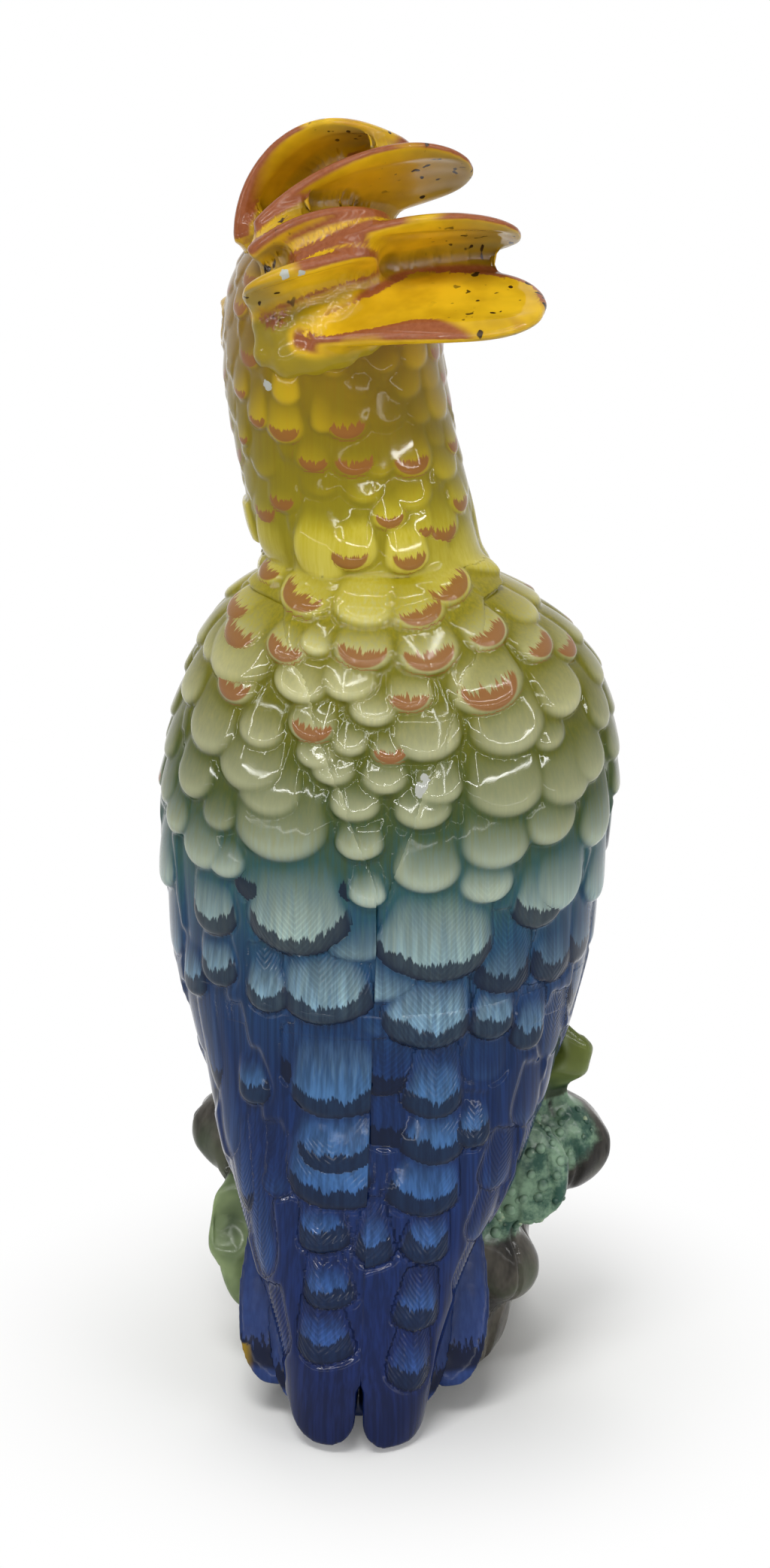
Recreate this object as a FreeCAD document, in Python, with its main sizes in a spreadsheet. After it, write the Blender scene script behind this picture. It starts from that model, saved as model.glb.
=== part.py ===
"""Crested parrot figure on a tree stump, in millimetres.

The bird faces -Y and stands on z = 0. +Z is up and +X is the bird's left.
The origin is the middle of the stump's underside. Every size is a cell of
the sheet named Sizes, and the tables below hold shares of those sizes.
"""
import FreeCAD, Part
import Sketcher
import os

DOC = FreeCAD.newDocument("parrot_figure")
SHEET = DOC.addObject("Spreadsheet::Sheet", "Sizes")
NODES = []

# Driving sizes: alias, millimetres or degrees, what it is
SIZES = (
    ("wall", 6, "wall of every hollow casting"),
    ("vent_diameter", 3, "kiln vent through each closed casting"),
    ("overrun", 4, "how far a cutting tool passes the piece"),
    ("stump_width", 100, "stump across the bird"),
    ("stump_depth", 82, "stump from breast to tail"),
    ("stump_height", 131, "top of the stump's dome"),
    ("stump_shift_y", -5, "stump axis ahead of the origin"),
    ("torso_width", 135, "torso casting at its widest"),
    ("torso_depth", 120, "torso casting at its deepest"),
    ("torso_height", 167, "torso from its seat to the neck seam"),
    ("torso_seat", 118, "height of the torso's seat in the stump"),
    ("torso_lean_y", 2, "torso axis behind the origin"),
    ("head_width", 74, "head and neck casting at its widest"),
    ("head_depth", 82, "head and neck casting at its deepest"),
    ("head_height", 112, "neck seam to crown"),
    ("head_lean_x", 17, "crown off to the bird's left of the axis"),
    ("head_turn", 28, "how far the face is turned to the left"),
    ("mantle_width", 150, "across both folded wings"),
    ("mantle_depth", 130, "wing casting moulds, breast to back"),
    ("mantle_height", 279, "wing tips to shoulders"),
    ("mantle_sweep", 68, "how far the tips trail behind the axis"),
    ("wing_tip_radius", 10.5, "round end of each wing"),
    ("wing_tip_lift", 2, "lowest wing tip above the table"),
    ("crest_length", 74, "longest crest feather along its curve"),
    ("crest_width", 44, "widest crest feather"),
    ("crest_thickness", 8, "thickest crest feather"),
    ("tail_length", 128, "longest tail feather along its curve"),
    ("tail_width", 37, "widest tail feather"),
    ("tail_thickness", 6, "thickest tail feather"),
    ("leaf_length", 52, "longest leaf"),
    ("leaf_width", 36, "widest leaf"),
    ("leaf_thickness", 13, "thickest leaf"),
    ("knot_length", 46, "longest branch stub"),
    ("knot_diameter", 40, "thickest branch stub"),
    ("beak_length", 52, "upper beak along its curve"),
    ("beak_width", 20, "upper beak at the face"),
    ("beak_height", 28, "upper beak at the face"),
    ("eye_diameter", 9, "glass-like eye bead"),
    ("eye_standout", 3.2, "how far the bead stands out of the face"),
    ("thigh_length", 52, "feathered thigh"),
    ("thigh_width", 34, "feathered thigh at its thickest"),
    ("toe_length", 32, "front toe with its claw"),
    ("toe_width", 9.5, "toe at its root"),
)

# Stump, bottom to top: height, shift x, shift y, width and depth shares
STUMP_SHARES = (
    (0.00, 0.02, 0.000, 0.78, 0.92),
    (0.06, 0.02, 0.000, 0.87, 1.00),
    (0.20, 0.02, 0.000, 0.96, 1.01),
    (0.35, 0.00, -0.005, 1.00, 1.00),
    (0.50, -0.01, -0.015, 1.02, 0.99),
    (0.65, -0.02, -0.035, 1.02, 0.99),
    (0.80, -0.02, -0.065, 0.97, 0.97),
    (0.91, -0.01, -0.090, 0.86, 0.90),
    (1.00, 0.00, -0.100, 0.66, 0.72),
)
# Torso, seat to neck seam
TORSO_SHARES = (
    (0.00, 0.010, 0.025, 0.42, 0.44),
    (0.07, 0.010, 0.025, 0.66, 0.68),
    (0.17, 0.010, 0.015, 0.84, 0.85),
    (0.29, 0.005, 0.005, 0.94, 0.95),
    (0.42, 0.000, 0.000, 0.99, 0.99),
    (0.55, -0.005, -0.010, 1.00, 0.98),
    (0.67, -0.012, -0.010, 0.96, 0.95),
    (0.79, -0.014, -0.010, 0.86, 0.85),
    (0.90, 0.005, -0.005, 0.69, 0.70),
    (1.00, 0.024, -0.008, 0.51, 0.57),
)
# Head and neck, seam to crown; shifts are shares of the head's lean and depth
HEAD_SHARES = (
    (0.00, 0.20, 0.010, 0.93, 0.83),
    (0.08, 0.41, 0.000, 0.985, 0.86),
    (0.19, 0.55, -0.010, 1.00, 0.86),
    (0.33, 0.75, -0.045, 1.00, 0.90),
    (0.47, 0.91, -0.095, 1.00, 1.01),
    (0.61, 0.98, -0.130, 0.98, 1.09),
    (0.74, 1.00, -0.140, 0.93, 1.06),
    (0.86, 1.00, -0.130, 0.78, 0.90),
    (0.95, 0.97, -0.115, 0.52, 0.60),
    (1.00, 0.95, -0.100, 0.24, 0.28),
)
# Both wings as one mantle, tips to shoulders; shift y is a share of the sweep
MANTLE_SHARES = (
    (0.000, 0.063, 0.985, 0.280, 0.250),
    (0.050, 0.060, 0.950, 0.315, 0.280),
    (0.105, 0.056, 0.880, 0.360, 0.315),
    (0.175, 0.053, 0.775, 0.450, 0.370),
    (0.245, 0.037, 0.655, 0.560, 0.440),
    (0.310, 0.023, 0.535, 0.665, 0.525),
    (0.370, 0.014, 0.415, 0.740, 0.620),
    (0.430, 0.010, 0.270, 0.812, 0.750),
    (0.490, 0.010, 0.140, 0.886, 0.880),
    (0.550, 0.007, 0.065, 0.936, 0.950),
    (0.615, 0.005, 0.025, 0.968, 0.990),
    (0.680, -0.001, 0.010, 0.995, 1.005),
    (0.745, -0.011, 0.010, 1.000, 1.000),
    (0.810, -0.017, 0.010, 0.968, 0.955),
    (0.870, -0.018, 0.015, 0.905, 0.885),
    (0.925, -0.005, 0.025, 0.785, 0.775),
    (0.970, 0.015, 0.030, 0.640, 0.660),
    (1.000, 0.020, 0.030, 0.520, 0.550),
)
# Cross-sections along a limb: place, width and thickness shares
PLUME_SHARES = (
    (0.00, 0.42, 0.85), (0.14, 0.62, 1.00), (0.30, 0.84, 1.00), (0.48, 0.98, 0.95),
    (0.66, 1.00, 0.90), (0.81, 0.90, 0.82), (0.91, 0.70, 0.72), (0.97, 0.45, 0.58),
    (1.00, 0.20, 0.40),
)
CREST_SHARES = (
    (0.00, 0.70, 1.30), (0.14, 0.84, 1.40), (0.30, 0.94, 1.30), (0.48, 1.00, 1.15),
    (0.66, 1.00, 1.00), (0.81, 0.90, 0.86), (0.91, 0.70, 0.70), (0.97, 0.45, 0.52),
    (1.00, 0.20, 0.34),
)
LEAF_SHARES = (
    (0.00, 0.45, 0.90), (0.15, 0.80, 1.00), (0.35, 1.00, 1.00), (0.60, 0.95, 0.90),
    (0.80, 0.72, 0.75), (0.93, 0.42, 0.55), (1.00, 0.16, 0.30),
)
STUB_SHARES = (
    (0.00, 1.00, 1.00), (0.30, 0.98, 0.98), (0.55, 0.92, 0.92), (0.75, 0.80, 0.80),
    (0.90, 0.58, 0.58), (1.00, 0.28, 0.28),
)
BEAK_SHARES = (
    (0.00, 1.00, 1.00), (0.22, 0.96, 0.98), (0.42, 0.84, 0.86), (0.62, 0.64, 0.66),
    (0.80, 0.42, 0.43), (0.93, 0.22, 0.23), (1.00, 0.09, 0.10),
)
TOE_SHARES = (
    (0.00, 1.00, 0.95), (0.30, 0.96, 0.92), (0.52, 0.90, 0.84), (0.68, 0.66, 0.60),
    (0.85, 0.38, 0.34), (1.00, 0.12, 0.10),
)
THIGH_SHARES = (
    (0.00, 0.70, 0.66), (0.25, 0.96, 0.90), (0.50, 1.00, 0.96), (0.72, 0.84, 0.82),
    (0.90, 0.60, 0.58), (1.00, 0.44, 0.42),
)

# Crest feathers, front of the crown to the nape. Root x, y and z are shares of the
# head's width, depth and height from its crown axis, then length, width and
# thickness shares, and in degrees: bend, heading, roll, lean and twist
CREST = (
    ("crest_feather_1", (0.30, -0.06, 0.845), (0.96, 0.96, 0.95), (112, 52, -24, -10, 0)),
    ("crest_feather_2", (0.12, -0.20, 0.850), (0.62, 0.90, 0.95), (66, 80, -10, 8, 0)),
    ("crest_feather_3", (0.28, 0.14, 0.900), (0.97, 1.00, 0.95), (42, 74, -34, 43, 0)),
    ("crest_feather_4", (0.30, 0.24, 0.870), (0.62, 0.66, 1.00), (40, 66, -20, 48, 0)),
    ("crest_feather_5", (0.12, 0.30, 0.840), (0.96, 1.00, 0.95), (28, 78, -26, 63, 0)),
    ("crest_feather_6", (0.07, 0.20, 0.735), (0.54, 1.02, 1.15), (14, 6, 14, 52, 0)),
    ("crest_feather_7", (0.08, 0.32, 0.705), (1.04, 1.04, 1.30), (24, 74, 16, 72, 0)),
)
# Tail feathers, outermost first. Root x is a share of the mantle's width, root y and
# z are shares of the sweep and the seat height, then as above
TAIL = (
    ("tail_feather_left_outer", (0.120, 0.47, 0.98), (0.84, 0.92, 1.00), (14, 0, -11, 174, 180)),
    ("tail_feather_right_outer", (-0.053, 0.47, 0.98), (0.84, 0.92, 1.00), (14, 0, 8, 174, 180)),
    ("tail_feather_left_middle", (0.080, 0.54, 1.00), (0.90, 0.92, 1.00), (13, 0, -7.5, 175, 180)),
    ("tail_feather_right_middle", (0.000, 0.54, 1.00), (0.90, 0.92, 1.00), (13, 0, 4.5, 175, 180)),
    ("tail_feather_centre", (0.053, 0.61, 1.02), (0.92, 0.95, 1.00), (12, 0, 0, 175, 180)),
)
# Branch stubs and roots of the stump. Root x, y and z are shares of the stump's
# width, depth and height, then length and diameter shares, then the angles
STUBS = (
    ("trunk_knot_left", (0.28, 0.00, 0.620), (0.80, 0.90), (10, -92, 0, 90, 0)),
    ("trunk_knot_right", (-0.32, -0.02, 0.550), (1.00, 0.98), (14, 92, 0, 82, 0)),
    ("trunk_burl_right", (-0.21, 0.22, 0.380), (0.74, 0.82), (40, 84, 0, 112, 0)),
    ("trunk_root_left", (0.26, -0.26, 0.170), (0.98, 0.66), (34, -142, 0, 104, 0)),
    ("trunk_root_right", (-0.22, -0.30, 0.150), (0.98, 0.62), (30, 150, 0, 103, 0)),
)
# Leaves on the stump: root shares as above, then length, width and thickness shares
LEAVES = (
    ("leaf_left_low", (0.36, 0.20, 0.455), (0.56, 0.92, 1.05), (24, 0, 124, 6, 0)),
    ("leaf_left_under", (0.35, 0.24, 0.320), (0.44, 0.80, 1.00), (20, 0, 138, 6, 0)),
    ("leaf_right_high", (-0.40, 0.06, 0.800), (0.62, 0.90, 1.10), (26, 0, -64, 0, 0)),
    ("leaf_right_middle", (-0.36, 0.28, 0.660), (0.64, 0.92, 1.00), (24, 0, -140, 6, 0)),
    ("leaf_front_left", (0.22, -0.44, 0.620), (1.04, 1.08, 0.90), (44, -158, 0, 132, 0)),
    ("leaf_front_right", (-0.25, -0.43, 0.540), (1.00, 1.06, 0.90), (44, 158, 0, 128, 0)),
    ("leaf_front_low", (0.02, -0.50, 0.400), (0.94, 1.00, 0.90), (38, 178, 0, 140, 0)),
)
# Midline seam of each wing: x shares of the mantle's width, z shares of its height
LEFT_SEAM = ((0.040, 0.262), (0.007, 0.530), (0.013, 0.674), (0.250, 1.030))
RIGHT_SEAM = ((0.043, 0.262), (0.010, 0.530), (-0.007, 0.674), (-0.240, 1.030))
# Front edge of the folded wings: height share, then how far the bare breast reaches
# back and how wide its rounding is, as shares of the mantle's depth and width
BREAST_SHARES = (
    (-0.03, 0.500, 2.00), (0.04, 0.473, 2.00), (0.11, 0.442, 2.00), (0.18, 0.410, 2.00),
    (0.25, 0.375, 1.90), (0.32, 0.330, 1.70), (0.39, 0.250, 1.50), (0.46, 0.110, 1.30),
    (0.53, -0.040, 1.20), (0.60, -0.140, 1.14), (0.67, -0.200, 1.08), (0.74, -0.230, 1.06),
    (0.81, -0.230, 1.06), (0.88, -0.200, 1.08), (0.95, -0.130, 1.12), (1.02, -0.020, 1.18),
    (1.09, 0.100, 1.24),
)


def fill_sheet():
    """Write every size with its meaning and name its cell."""
    for row, (alias, value, meaning) in enumerate(SIZES, start=1):
        SHEET.set("A%d" % row, alias)
        SHEET.set("B%d" % row, str(value))
        SHEET.set("C%d" % row, meaning)
        SHEET.setAlias("B%d" % row, alias)
    DOC.recompute()


def of_size(alias, share):
    """The share of a named size, as an expression."""
    return "Sizes.%s * %g" % (alias, share)


def level_ring(name, centre, width, depth):
    """A level ellipse, given expressions for its centre and its two diameters."""
    ellipse = DOC.addObject("Part::Ellipse", name)
    ellipse.setExpression("MajorRadius", "max(%s; %s) / 2" % (width, depth))
    ellipse.setExpression("MinorRadius", "min(%s; %s) / 2" % (width, depth))
    for axis, place in zip("xyz", centre):
        ellipse.setExpression(".Placement.Base.%s" % axis, place)
    ellipse.setExpression(".Placement.Rotation.Angle", "%s >= %s ? 0 : -90" % (width, depth))
    return ellipse


def loft_of(name, rings):
    """One smooth solid through the rings."""
    loft = DOC.addObject("Part::Loft", name)
    loft.Sections = rings
    loft.Solid = True
    return loft


def ring_loft(name, shares, spec, first=0, last=None, inset=0):
    """Solid through level rings; inset takes that many walls off each side."""
    rings = []
    for index, (rise, shift_x, shift_y, wide, deep) in enumerate(shares[first:last]):
        centre = (spec["x"] % shift_x, spec["y"] % shift_y, spec["z"] % rise)
        width = "(%s - Sizes.wall * %g)" % (of_size(spec["width"], wide), 2 * inset)
        depth = "(%s - Sizes.wall * %g)" % (of_size(spec["depth"], deep), 2 * inset)
        rings.append(level_ring("%s_ring_%d" % (name, index), centre, width, depth))
    return loft_of(name, rings)


def limb(name, shares, place, sizes, angles):
    """Tapering limb whose spine leaves the root upward and bends toward local +Y.

    sizes are expressions for length, width and thickness. angles are expressions
    for bend, heading, roll, lean and twist.
    """
    length, width, thickness = sizes
    bend, heading, roll, lean, twist = angles
    rings = []
    for index, (along, wide, thick) in enumerate(shares):
        across = "%s * %g" % (width, wide)
        through = "%s * %g" % (thickness, thick)
        ring = DOC.addObject("Part::Ellipse", "%s_ring_%d" % (name, index))
        ring.setExpression("MajorRadius", "max(%s; %s) / 2" % (across, through))
        ring.setExpression("MinorRadius", "min(%s; %s) / 2" % (across, through))
        radius = "%s / (%s * pi / 180)" % (length, bend)
        out = "%s * (1 - cos(%s * %g))" % (radius, bend, along)
        up = "%s * sin(%s * %g)" % (radius, bend, along)
        turn = "rotation(vector(1; 0; 0); -%s * %g)" % (bend, along)
        side = "rotation(vector(0; 0; 1); %s >= %s ? 0 : 90)" % (across, through)
        ring.setExpression("Placement", "placement(vector(0; %s; %s); %s * %s)" % (out, up, turn, side))
        rings.append(ring)
    solid = loft_of(name, rings)
    turns = (
        "rotation(vector(0; 0; 1); %s)" % heading,
        "rotation(vector(0; 1; 0); %s)" % roll,
        "rotation(vector(1; 0; 0); -(%s))" % lean,
        "rotation(vector(0; 0; 1); %s)" % twist,
    )
    solid.setExpression("Placement", "placement(vector(%s; %s; %s); %s)" % (*place, " * ".join(turns)))
    return solid


def cut_chain(name, solid, tools):
    """Take the tools away from a solid one after another."""
    for index, tool in enumerate(tools):
        cut = DOC.addObject("Part::Cut", "%s_cut_%d" % (name, index))
        cut.Base = solid
        cut.Tool = tool
        cut.Refine = False
        solid = cut
    return solid


def node(label, solid):
    """Keep a finished sub-part under the name it is written as."""
    solid.Label = label
    NODES.append((label, solid))
    return solid


def breast_clearance():
    """Smooth tool that bares the breast and follows the front edge of both wings."""
    rings = []
    for index, (rise, reach, wide) in enumerate(BREAST_SHARES):
        back = "Sizes.mantle_depth * %g" % reach
        deep = "(Sizes.mantle_depth * %g)" % (2 * (1 + reach))
        centre = ("Sizes.mantle_width * 0.01", "-Sizes.mantle_depth", MANTLE["z"] % rise)
        rings.append(level_ring("breast_ring_%d" % index, centre, "(%s)" % of_size("mantle_width", wide), deep))
    return loft_of("breast_clearance", rings)


def wing_outline(name, seam, side, tip_x, tip_lift):
    """Pad of one wing's planform with its round tip, seen from behind."""
    body = DOC.addObject("PartDesign::Body", name)
    sketch = body.newObject("Sketcher::SketchObject", name + "_sketch")
    sketch.AttachmentSupport = [(body.Origin.OriginFeatures[4], "")]
    sketch.MapMode = "FlatFace"
    centre_x = of_size("mantle_width", tip_x)
    centre_z = "Sizes.wing_tip_radius + " + of_size("wing_tip_lift", tip_lift)
    places = [("%s - %d * Sizes.wing_tip_radius" % (centre_x, side), centre_z)]
    for wide, rise in seam:
        places.append((of_size("mantle_width", wide), "Sizes.wing_tip_lift + " + of_size("mantle_height", rise)))
    places.append((of_size("mantle_width", side), "Sizes.wing_tip_lift + " + of_size("mantle_height", seam[-1][1])))
    places.append((of_size("mantle_width", side), of_size("mantle_height", 0.35)))
    places.append(("%s + %d * Sizes.wing_tip_radius" % (centre_x, side), centre_z))
    points = [FreeCAD.Vector(number(x), number(z), 0) for x, z in places]
    for first, second in zip(points, points[1:]):
        sketch.addGeometry(Part.LineSegment(first, second), False)
    low = (points[0] + points[-1]) / 2 - FreeCAD.Vector(0, (points[0] - points[-1]).Length / 2, 0)
    start, end = (points[-1], points[0]) if side < 0 else (points[0], points[-1])
    arc = sketch.addGeometry(Part.Arc(start, low, end), False)
    last = len(points) - 2
    for line in range(last):
        sketch.addConstraint(Sketcher.Constraint("Coincident", line, 2, line + 1, 1))
    first_end, last_end = ((2, 1) if side < 0 else (1, 2))
    sketch.addConstraint(Sketcher.Constraint("Coincident", arc, first_end, 0, 1))
    sketch.addConstraint(Sketcher.Constraint("Coincident", arc, last_end, last, 2))
    ends = [(0, 1)] + [(line, 2) for line in range(last + 1)]
    for (line, end_point), (x, z) in zip(ends, places):
        bind_length(sketch, "DistanceX", line, end_point, x)
        bind_length(sketch, "DistanceY", line, end_point, z)
    bind_length(sketch, "DistanceY", arc, 3, centre_z)
    pad = body.newObject("PartDesign::Pad", name + "_pad")
    pad.Profile = sketch
    pad.Midplane = True
    pad.setExpression("Length", "Sizes.mantle_depth * 3")
    return body


def number(expression):
    """Present value of an expression of named sizes."""
    return float(SHEET.evalExpression(expression))


def bind_length(sketch, kind, line, end_point, expression):
    """Constrain a point from the sketch's origin and bind the distance."""
    value = number(expression)
    at = sketch.addConstraint(Sketcher.Constraint(kind, -1, 1, line, end_point, value))
    sketch.setExpression("Constraints[%d]" % at, expression)


fill_sheet()

# Stump casting and everything that grows from it
STUMP = {"x": "Sizes.stump_width * %g", "y": "Sizes.stump_shift_y + Sizes.stump_depth * %g",
         "z": "Sizes.stump_height * %g", "width": "stump_width", "depth": "stump_depth"}
TORSO = {"x": "Sizes.torso_width * %g", "y": "Sizes.torso_lean_y + Sizes.torso_depth * %g",
         "z": "Sizes.torso_seat + Sizes.torso_height * %g", "width": "torso_width", "depth": "torso_depth"}
HEAD = {"x": "Sizes.head_lean_x * %g", "y": "Sizes.head_depth * %g",
        "z": "Sizes.torso_seat + Sizes.torso_height + Sizes.head_height * %g",
        "width": "head_width", "depth": "head_depth"}
MANTLE = {"x": "Sizes.mantle_width * %g", "y": "Sizes.mantle_sweep * %g",
          "z": "Sizes.wing_tip_lift + Sizes.mantle_height * %g", "width": "mantle_width", "depth": "mantle_depth"}

stump_solid = ring_loft("stump_solid", STUMP_SHARES, STUMP)
torso_solid = ring_loft("torso_solid", TORSO_SHARES, TORSO)
head_solid = ring_loft("head_solid", HEAD_SHARES, HEAD)
stump_cavity = ring_loft("stump_cavity", STUMP_SHARES, STUMP, 1, 7, 1)
torso_cavity = ring_loft("torso_cavity", TORSO_SHARES, TORSO, 1, 9, 1.15)
head_cavity = ring_loft("head_cavity", HEAD_SHARES, HEAD, 1, 8, 1)

vent = DOC.addObject("Part::Cylinder", "vent")
vent.setExpression("Radius", "Sizes.vent_diameter / 2")
vent.setExpression("Height", "Sizes.torso_seat + Sizes.torso_height + Sizes.head_height * 0.3")
vent.setExpression(".Placement.Base.y", "Sizes.vent_diameter * 3")
vent.setExpression(".Placement.Base.z", "-Sizes.overrun")

node("stump_shell", cut_chain("stump", stump_solid, (torso_solid, stump_cavity, vent)))
node("torso_shell", cut_chain("torso", torso_solid, (torso_cavity, vent)))


def stump_place(shares):
    """Centre of a limb's root on the stump."""
    return ("Sizes.stump_width * %g" % shares[0],
            "Sizes.stump_shift_y + Sizes.stump_depth * %g" % shares[1],
            "Sizes.stump_height * %g" % shares[2])


table = DOC.addObject("Part::Box", "table")
table.setExpression("Length", "Sizes.stump_width * 3")
table.setExpression("Width", "Sizes.stump_width * 3")
table.setExpression("Height", "Sizes.stump_height")
table.setExpression(".Placement.Base.x", "-Sizes.stump_width * 1.5")
table.setExpression(".Placement.Base.y", "-Sizes.stump_width * 1.5")
table.setExpression(".Placement.Base.z", "-Sizes.stump_height")

stubs = []
for label, place, (long, thick), angles in STUBS:
    sizes = (of_size("knot_length", long), of_size("knot_diameter", thick), of_size("knot_diameter", thick))
    stub = limb(label + "_solid", STUB_SHARES, stump_place(place), sizes, angles)
    stubs.append(stub)
    node(label, cut_chain(label, stub, [table, stump_solid] + stubs[:-1]))

# Wings: a smooth mantle over the torso, parted along the midline
mantle = ring_loft("mantle", MANTLE_SHARES, MANTLE)


breast_tool = breast_clearance()
left_outline = wing_outline("left_outline", LEFT_SEAM, 1, 0.137, 1.5)
right_outline = wing_outline("right_outline", RIGHT_SEAM, -1, -0.023, 0.5)
wings = []
for label, outline in (("left_wing", left_outline), ("right_wing", right_outline)):
    half = DOC.addObject("Part::Common", label + "_half")
    half.Base = mantle
    half.Tool = outline
    half.Refine = False
    wing = cut_chain(label, half, [breast_tool, torso_solid] + wings)
    wings.append(wing)
    node(label, wing)

# Tail fan under the wings
feathers = []
for label, (across, back, rise), (long, wide, thick), angles in TAIL:
    place = (of_size("mantle_width", across), of_size("mantle_sweep", back), of_size("torso_seat", rise))
    sizes = (of_size("tail_length", long), of_size("tail_width", wide), of_size("tail_thickness", thick))
    feather = limb(label + "_solid", PLUME_SHARES, place, sizes, angles)
    tools = wings + [torso_solid, stump_solid] + feathers
    feathers.append(feather)
    node(label, cut_chain(label, feather, tools))

# Thighs and toes, gripping the stump
thigh_places = (("left", 1), ("right", -1))
thighs = []
for side, sign in thigh_places:
    place = (of_size("torso_width", 0.20 * sign), of_size("torso_depth", -0.31), of_size("torso_seat", 1.48))
    sizes = (of_size("thigh_length", 1), of_size("thigh_width", 1), of_size("thigh_width", 1))
    thigh = limb(side + "_thigh_solid", THIGH_SHARES, place, sizes, (10, 180, 0, 166, 180))
    node(side + "_thigh", cut_chain(side + "_thigh", thigh, (torso_solid, stump_solid)))
    thighs.append(thigh)

toes = []
for (side, sign), thigh in zip(thigh_places, thighs):
    for which, spread in (("inner", -sign), ("outer", sign)):
        place = (of_size("torso_width", 0.20 * sign + 0.040 * spread), of_size("stump_depth", -0.50),
                 of_size("stump_height", 0.955))
        sizes = (of_size("toe_length", 1), of_size("toe_width", 1), of_size("toe_width", 1))
        toe = limb("%s_toe_%s_solid" % (side, which), TOE_SHARES, place, sizes, (96, 180 + 10 * spread, 0, 74, 0))
        tools = [torso_solid, stump_solid, thigh] + toes[-1:]
        toes.append(toe)
        node("%s_toe_%s" % (side, which), cut_chain("%s_toe_%s" % (side, which), toe, tools))

# Leaves, cleared of the wings, the stump, its stubs and the tail
leaves = []
for label, place, (long, wide, thick), angles in LEAVES:
    sizes = (of_size("leaf_length", long), of_size("leaf_width", wide), of_size("leaf_thickness", thick))
    leaf = limb(label + "_solid", LEAF_SHARES, stump_place(place), sizes, angles)
    tools = wings + [stump_solid, torso_solid] + stubs + feathers + toes + leaves
    leaves.append(leaf)
    node(label, cut_chain(label, leaf, tools))

# Head casting with the crest, beak and eyes
EYE_TURN = 46
eyes = []
for side, sign in (("left", 1), ("right", -1)):
    turn = "(Sizes.head_turn - 90 + %d)" % (EYE_TURN * sign)
    across = "(cos(%s) / Sizes.head_width * 2)" % turn
    along = "(sin(%s) / Sizes.head_depth / 1.09 * 2)" % turn
    reach = "(1.0 / sqrt(%s * %s + %s * %s) + Sizes.eye_standout - Sizes.eye_diameter / 2)" % (
        across, across, along, along)
    eye = DOC.addObject("Part::Sphere", side + "_eye_bead")
    eye.Placement.Rotation = FreeCAD.Rotation(FreeCAD.Vector(1, 0, 0), 90)
    eye.setExpression("Radius", "Sizes.eye_diameter / 2")
    eye.setExpression(".Placement.Base.x", "Sizes.head_lean_x + %s * cos(%s)" % (reach, turn))
    eye.setExpression(".Placement.Base.y", "-Sizes.head_depth * 0.13 + %s * sin(%s)" % (reach, turn))
    eye.setExpression(".Placement.Base.z", HEAD["z"] % 0.63)
    eyes.append(node(side + "_eye", eye))


def beak(name, out, rise, sizes, angles):
    """Decurved half of the beak, set into the face."""
    place = ("Sizes.head_lean_x * 0.92 + Sizes.head_depth * %g * sin(Sizes.head_turn)" % out,
             "-Sizes.head_depth * 0.09 - Sizes.head_depth * %g * cos(Sizes.head_turn)" % out,
             HEAD["z"] % rise)
    return limb(name, BEAK_SHARES, place, sizes, angles)


facing = "(Sizes.head_turn + 180)"
upper = beak("upper_beak_solid", 0.36, 0.58, ("Sizes.beak_length", "Sizes.beak_width", "Sizes.beak_height"),
             (128, facing, 0, 72, 0))
lower = beak("lower_beak_solid", 0.34, 0.42,
             ("Sizes.beak_length * 0.6", "Sizes.beak_width * 0.86", "Sizes.beak_height * 0.46"),
             (40, facing, 0, 112, 180))
node("upper_beak", cut_chain("upper_beak", upper, (head_solid,)))
node("lower_beak", cut_chain("lower_beak", lower, (head_solid, upper)))
node("head_shell", cut_chain("head", head_solid, eyes + [head_cavity, vent]))

plumes = []
for label, (across, back, rise), (long, wide, thick), angles in CREST:
    place = ("Sizes.head_lean_x + " + of_size("head_width", across),
             of_size("head_depth", back - 0.1), HEAD["z"] % rise)
    sizes = (of_size("crest_length", long), of_size("crest_width", wide), of_size("crest_thickness", thick))
    plume = limb(label + "_solid", CREST_SHARES, place, sizes, angles)
    tools = [head_solid] + plumes
    plumes.append(plume)
    node(label, cut_chain(label, plume, tools))

DOC.recompute()
os.makedirs("parts", exist_ok=True)
faults = [thing.Name for thing in DOC.Objects if "Invalid" in thing.State or "Error" in thing.State]
if faults:
    raise SystemExit("objects with faults: %s" % faults)
for label, thing in NODES:
    shape = thing.Shape
    if shape.isNull() or not shape.isValid() or not shape.Solids:
        raise SystemExit("%s has no valid solid" % label)
    shape.exportStep("parts/%s.step" % label)
    box = shape.optimalBoundingBox()
    print("%-26s solids %d  volume %9.0f  x %6.1f %6.1f  y %6.1f %6.1f  z %6.1f %6.1f" % (
        label, len(shape.Solids), shape.Volume, box.XMin, box.XMax, box.YMin, box.YMax, box.ZMin, box.ZMax))
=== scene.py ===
# %% [markdown]
# # A glazed parrot on a tree stump
# The object is a slip-cast pottery figure about 425 mm tall. A parrot with a raised crest
# sits on a stump, and the picture shows its back. Its plumage is modelled in the clay as
# overlapping puffy scallops, then painted by hand under a clear, wet-looking glaze.
# The measured solids come first. Every piece below is laid on them in the same frame, in
# metres, so nothing has to be fitted later.

# %% Load the measured figure
import math

import bmesh
import bpy
import numpy as np
from mathutils import Matrix, Vector
from mathutils.bvhtree import BVHTree
from mathutils.kdtree import KDTree


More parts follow.
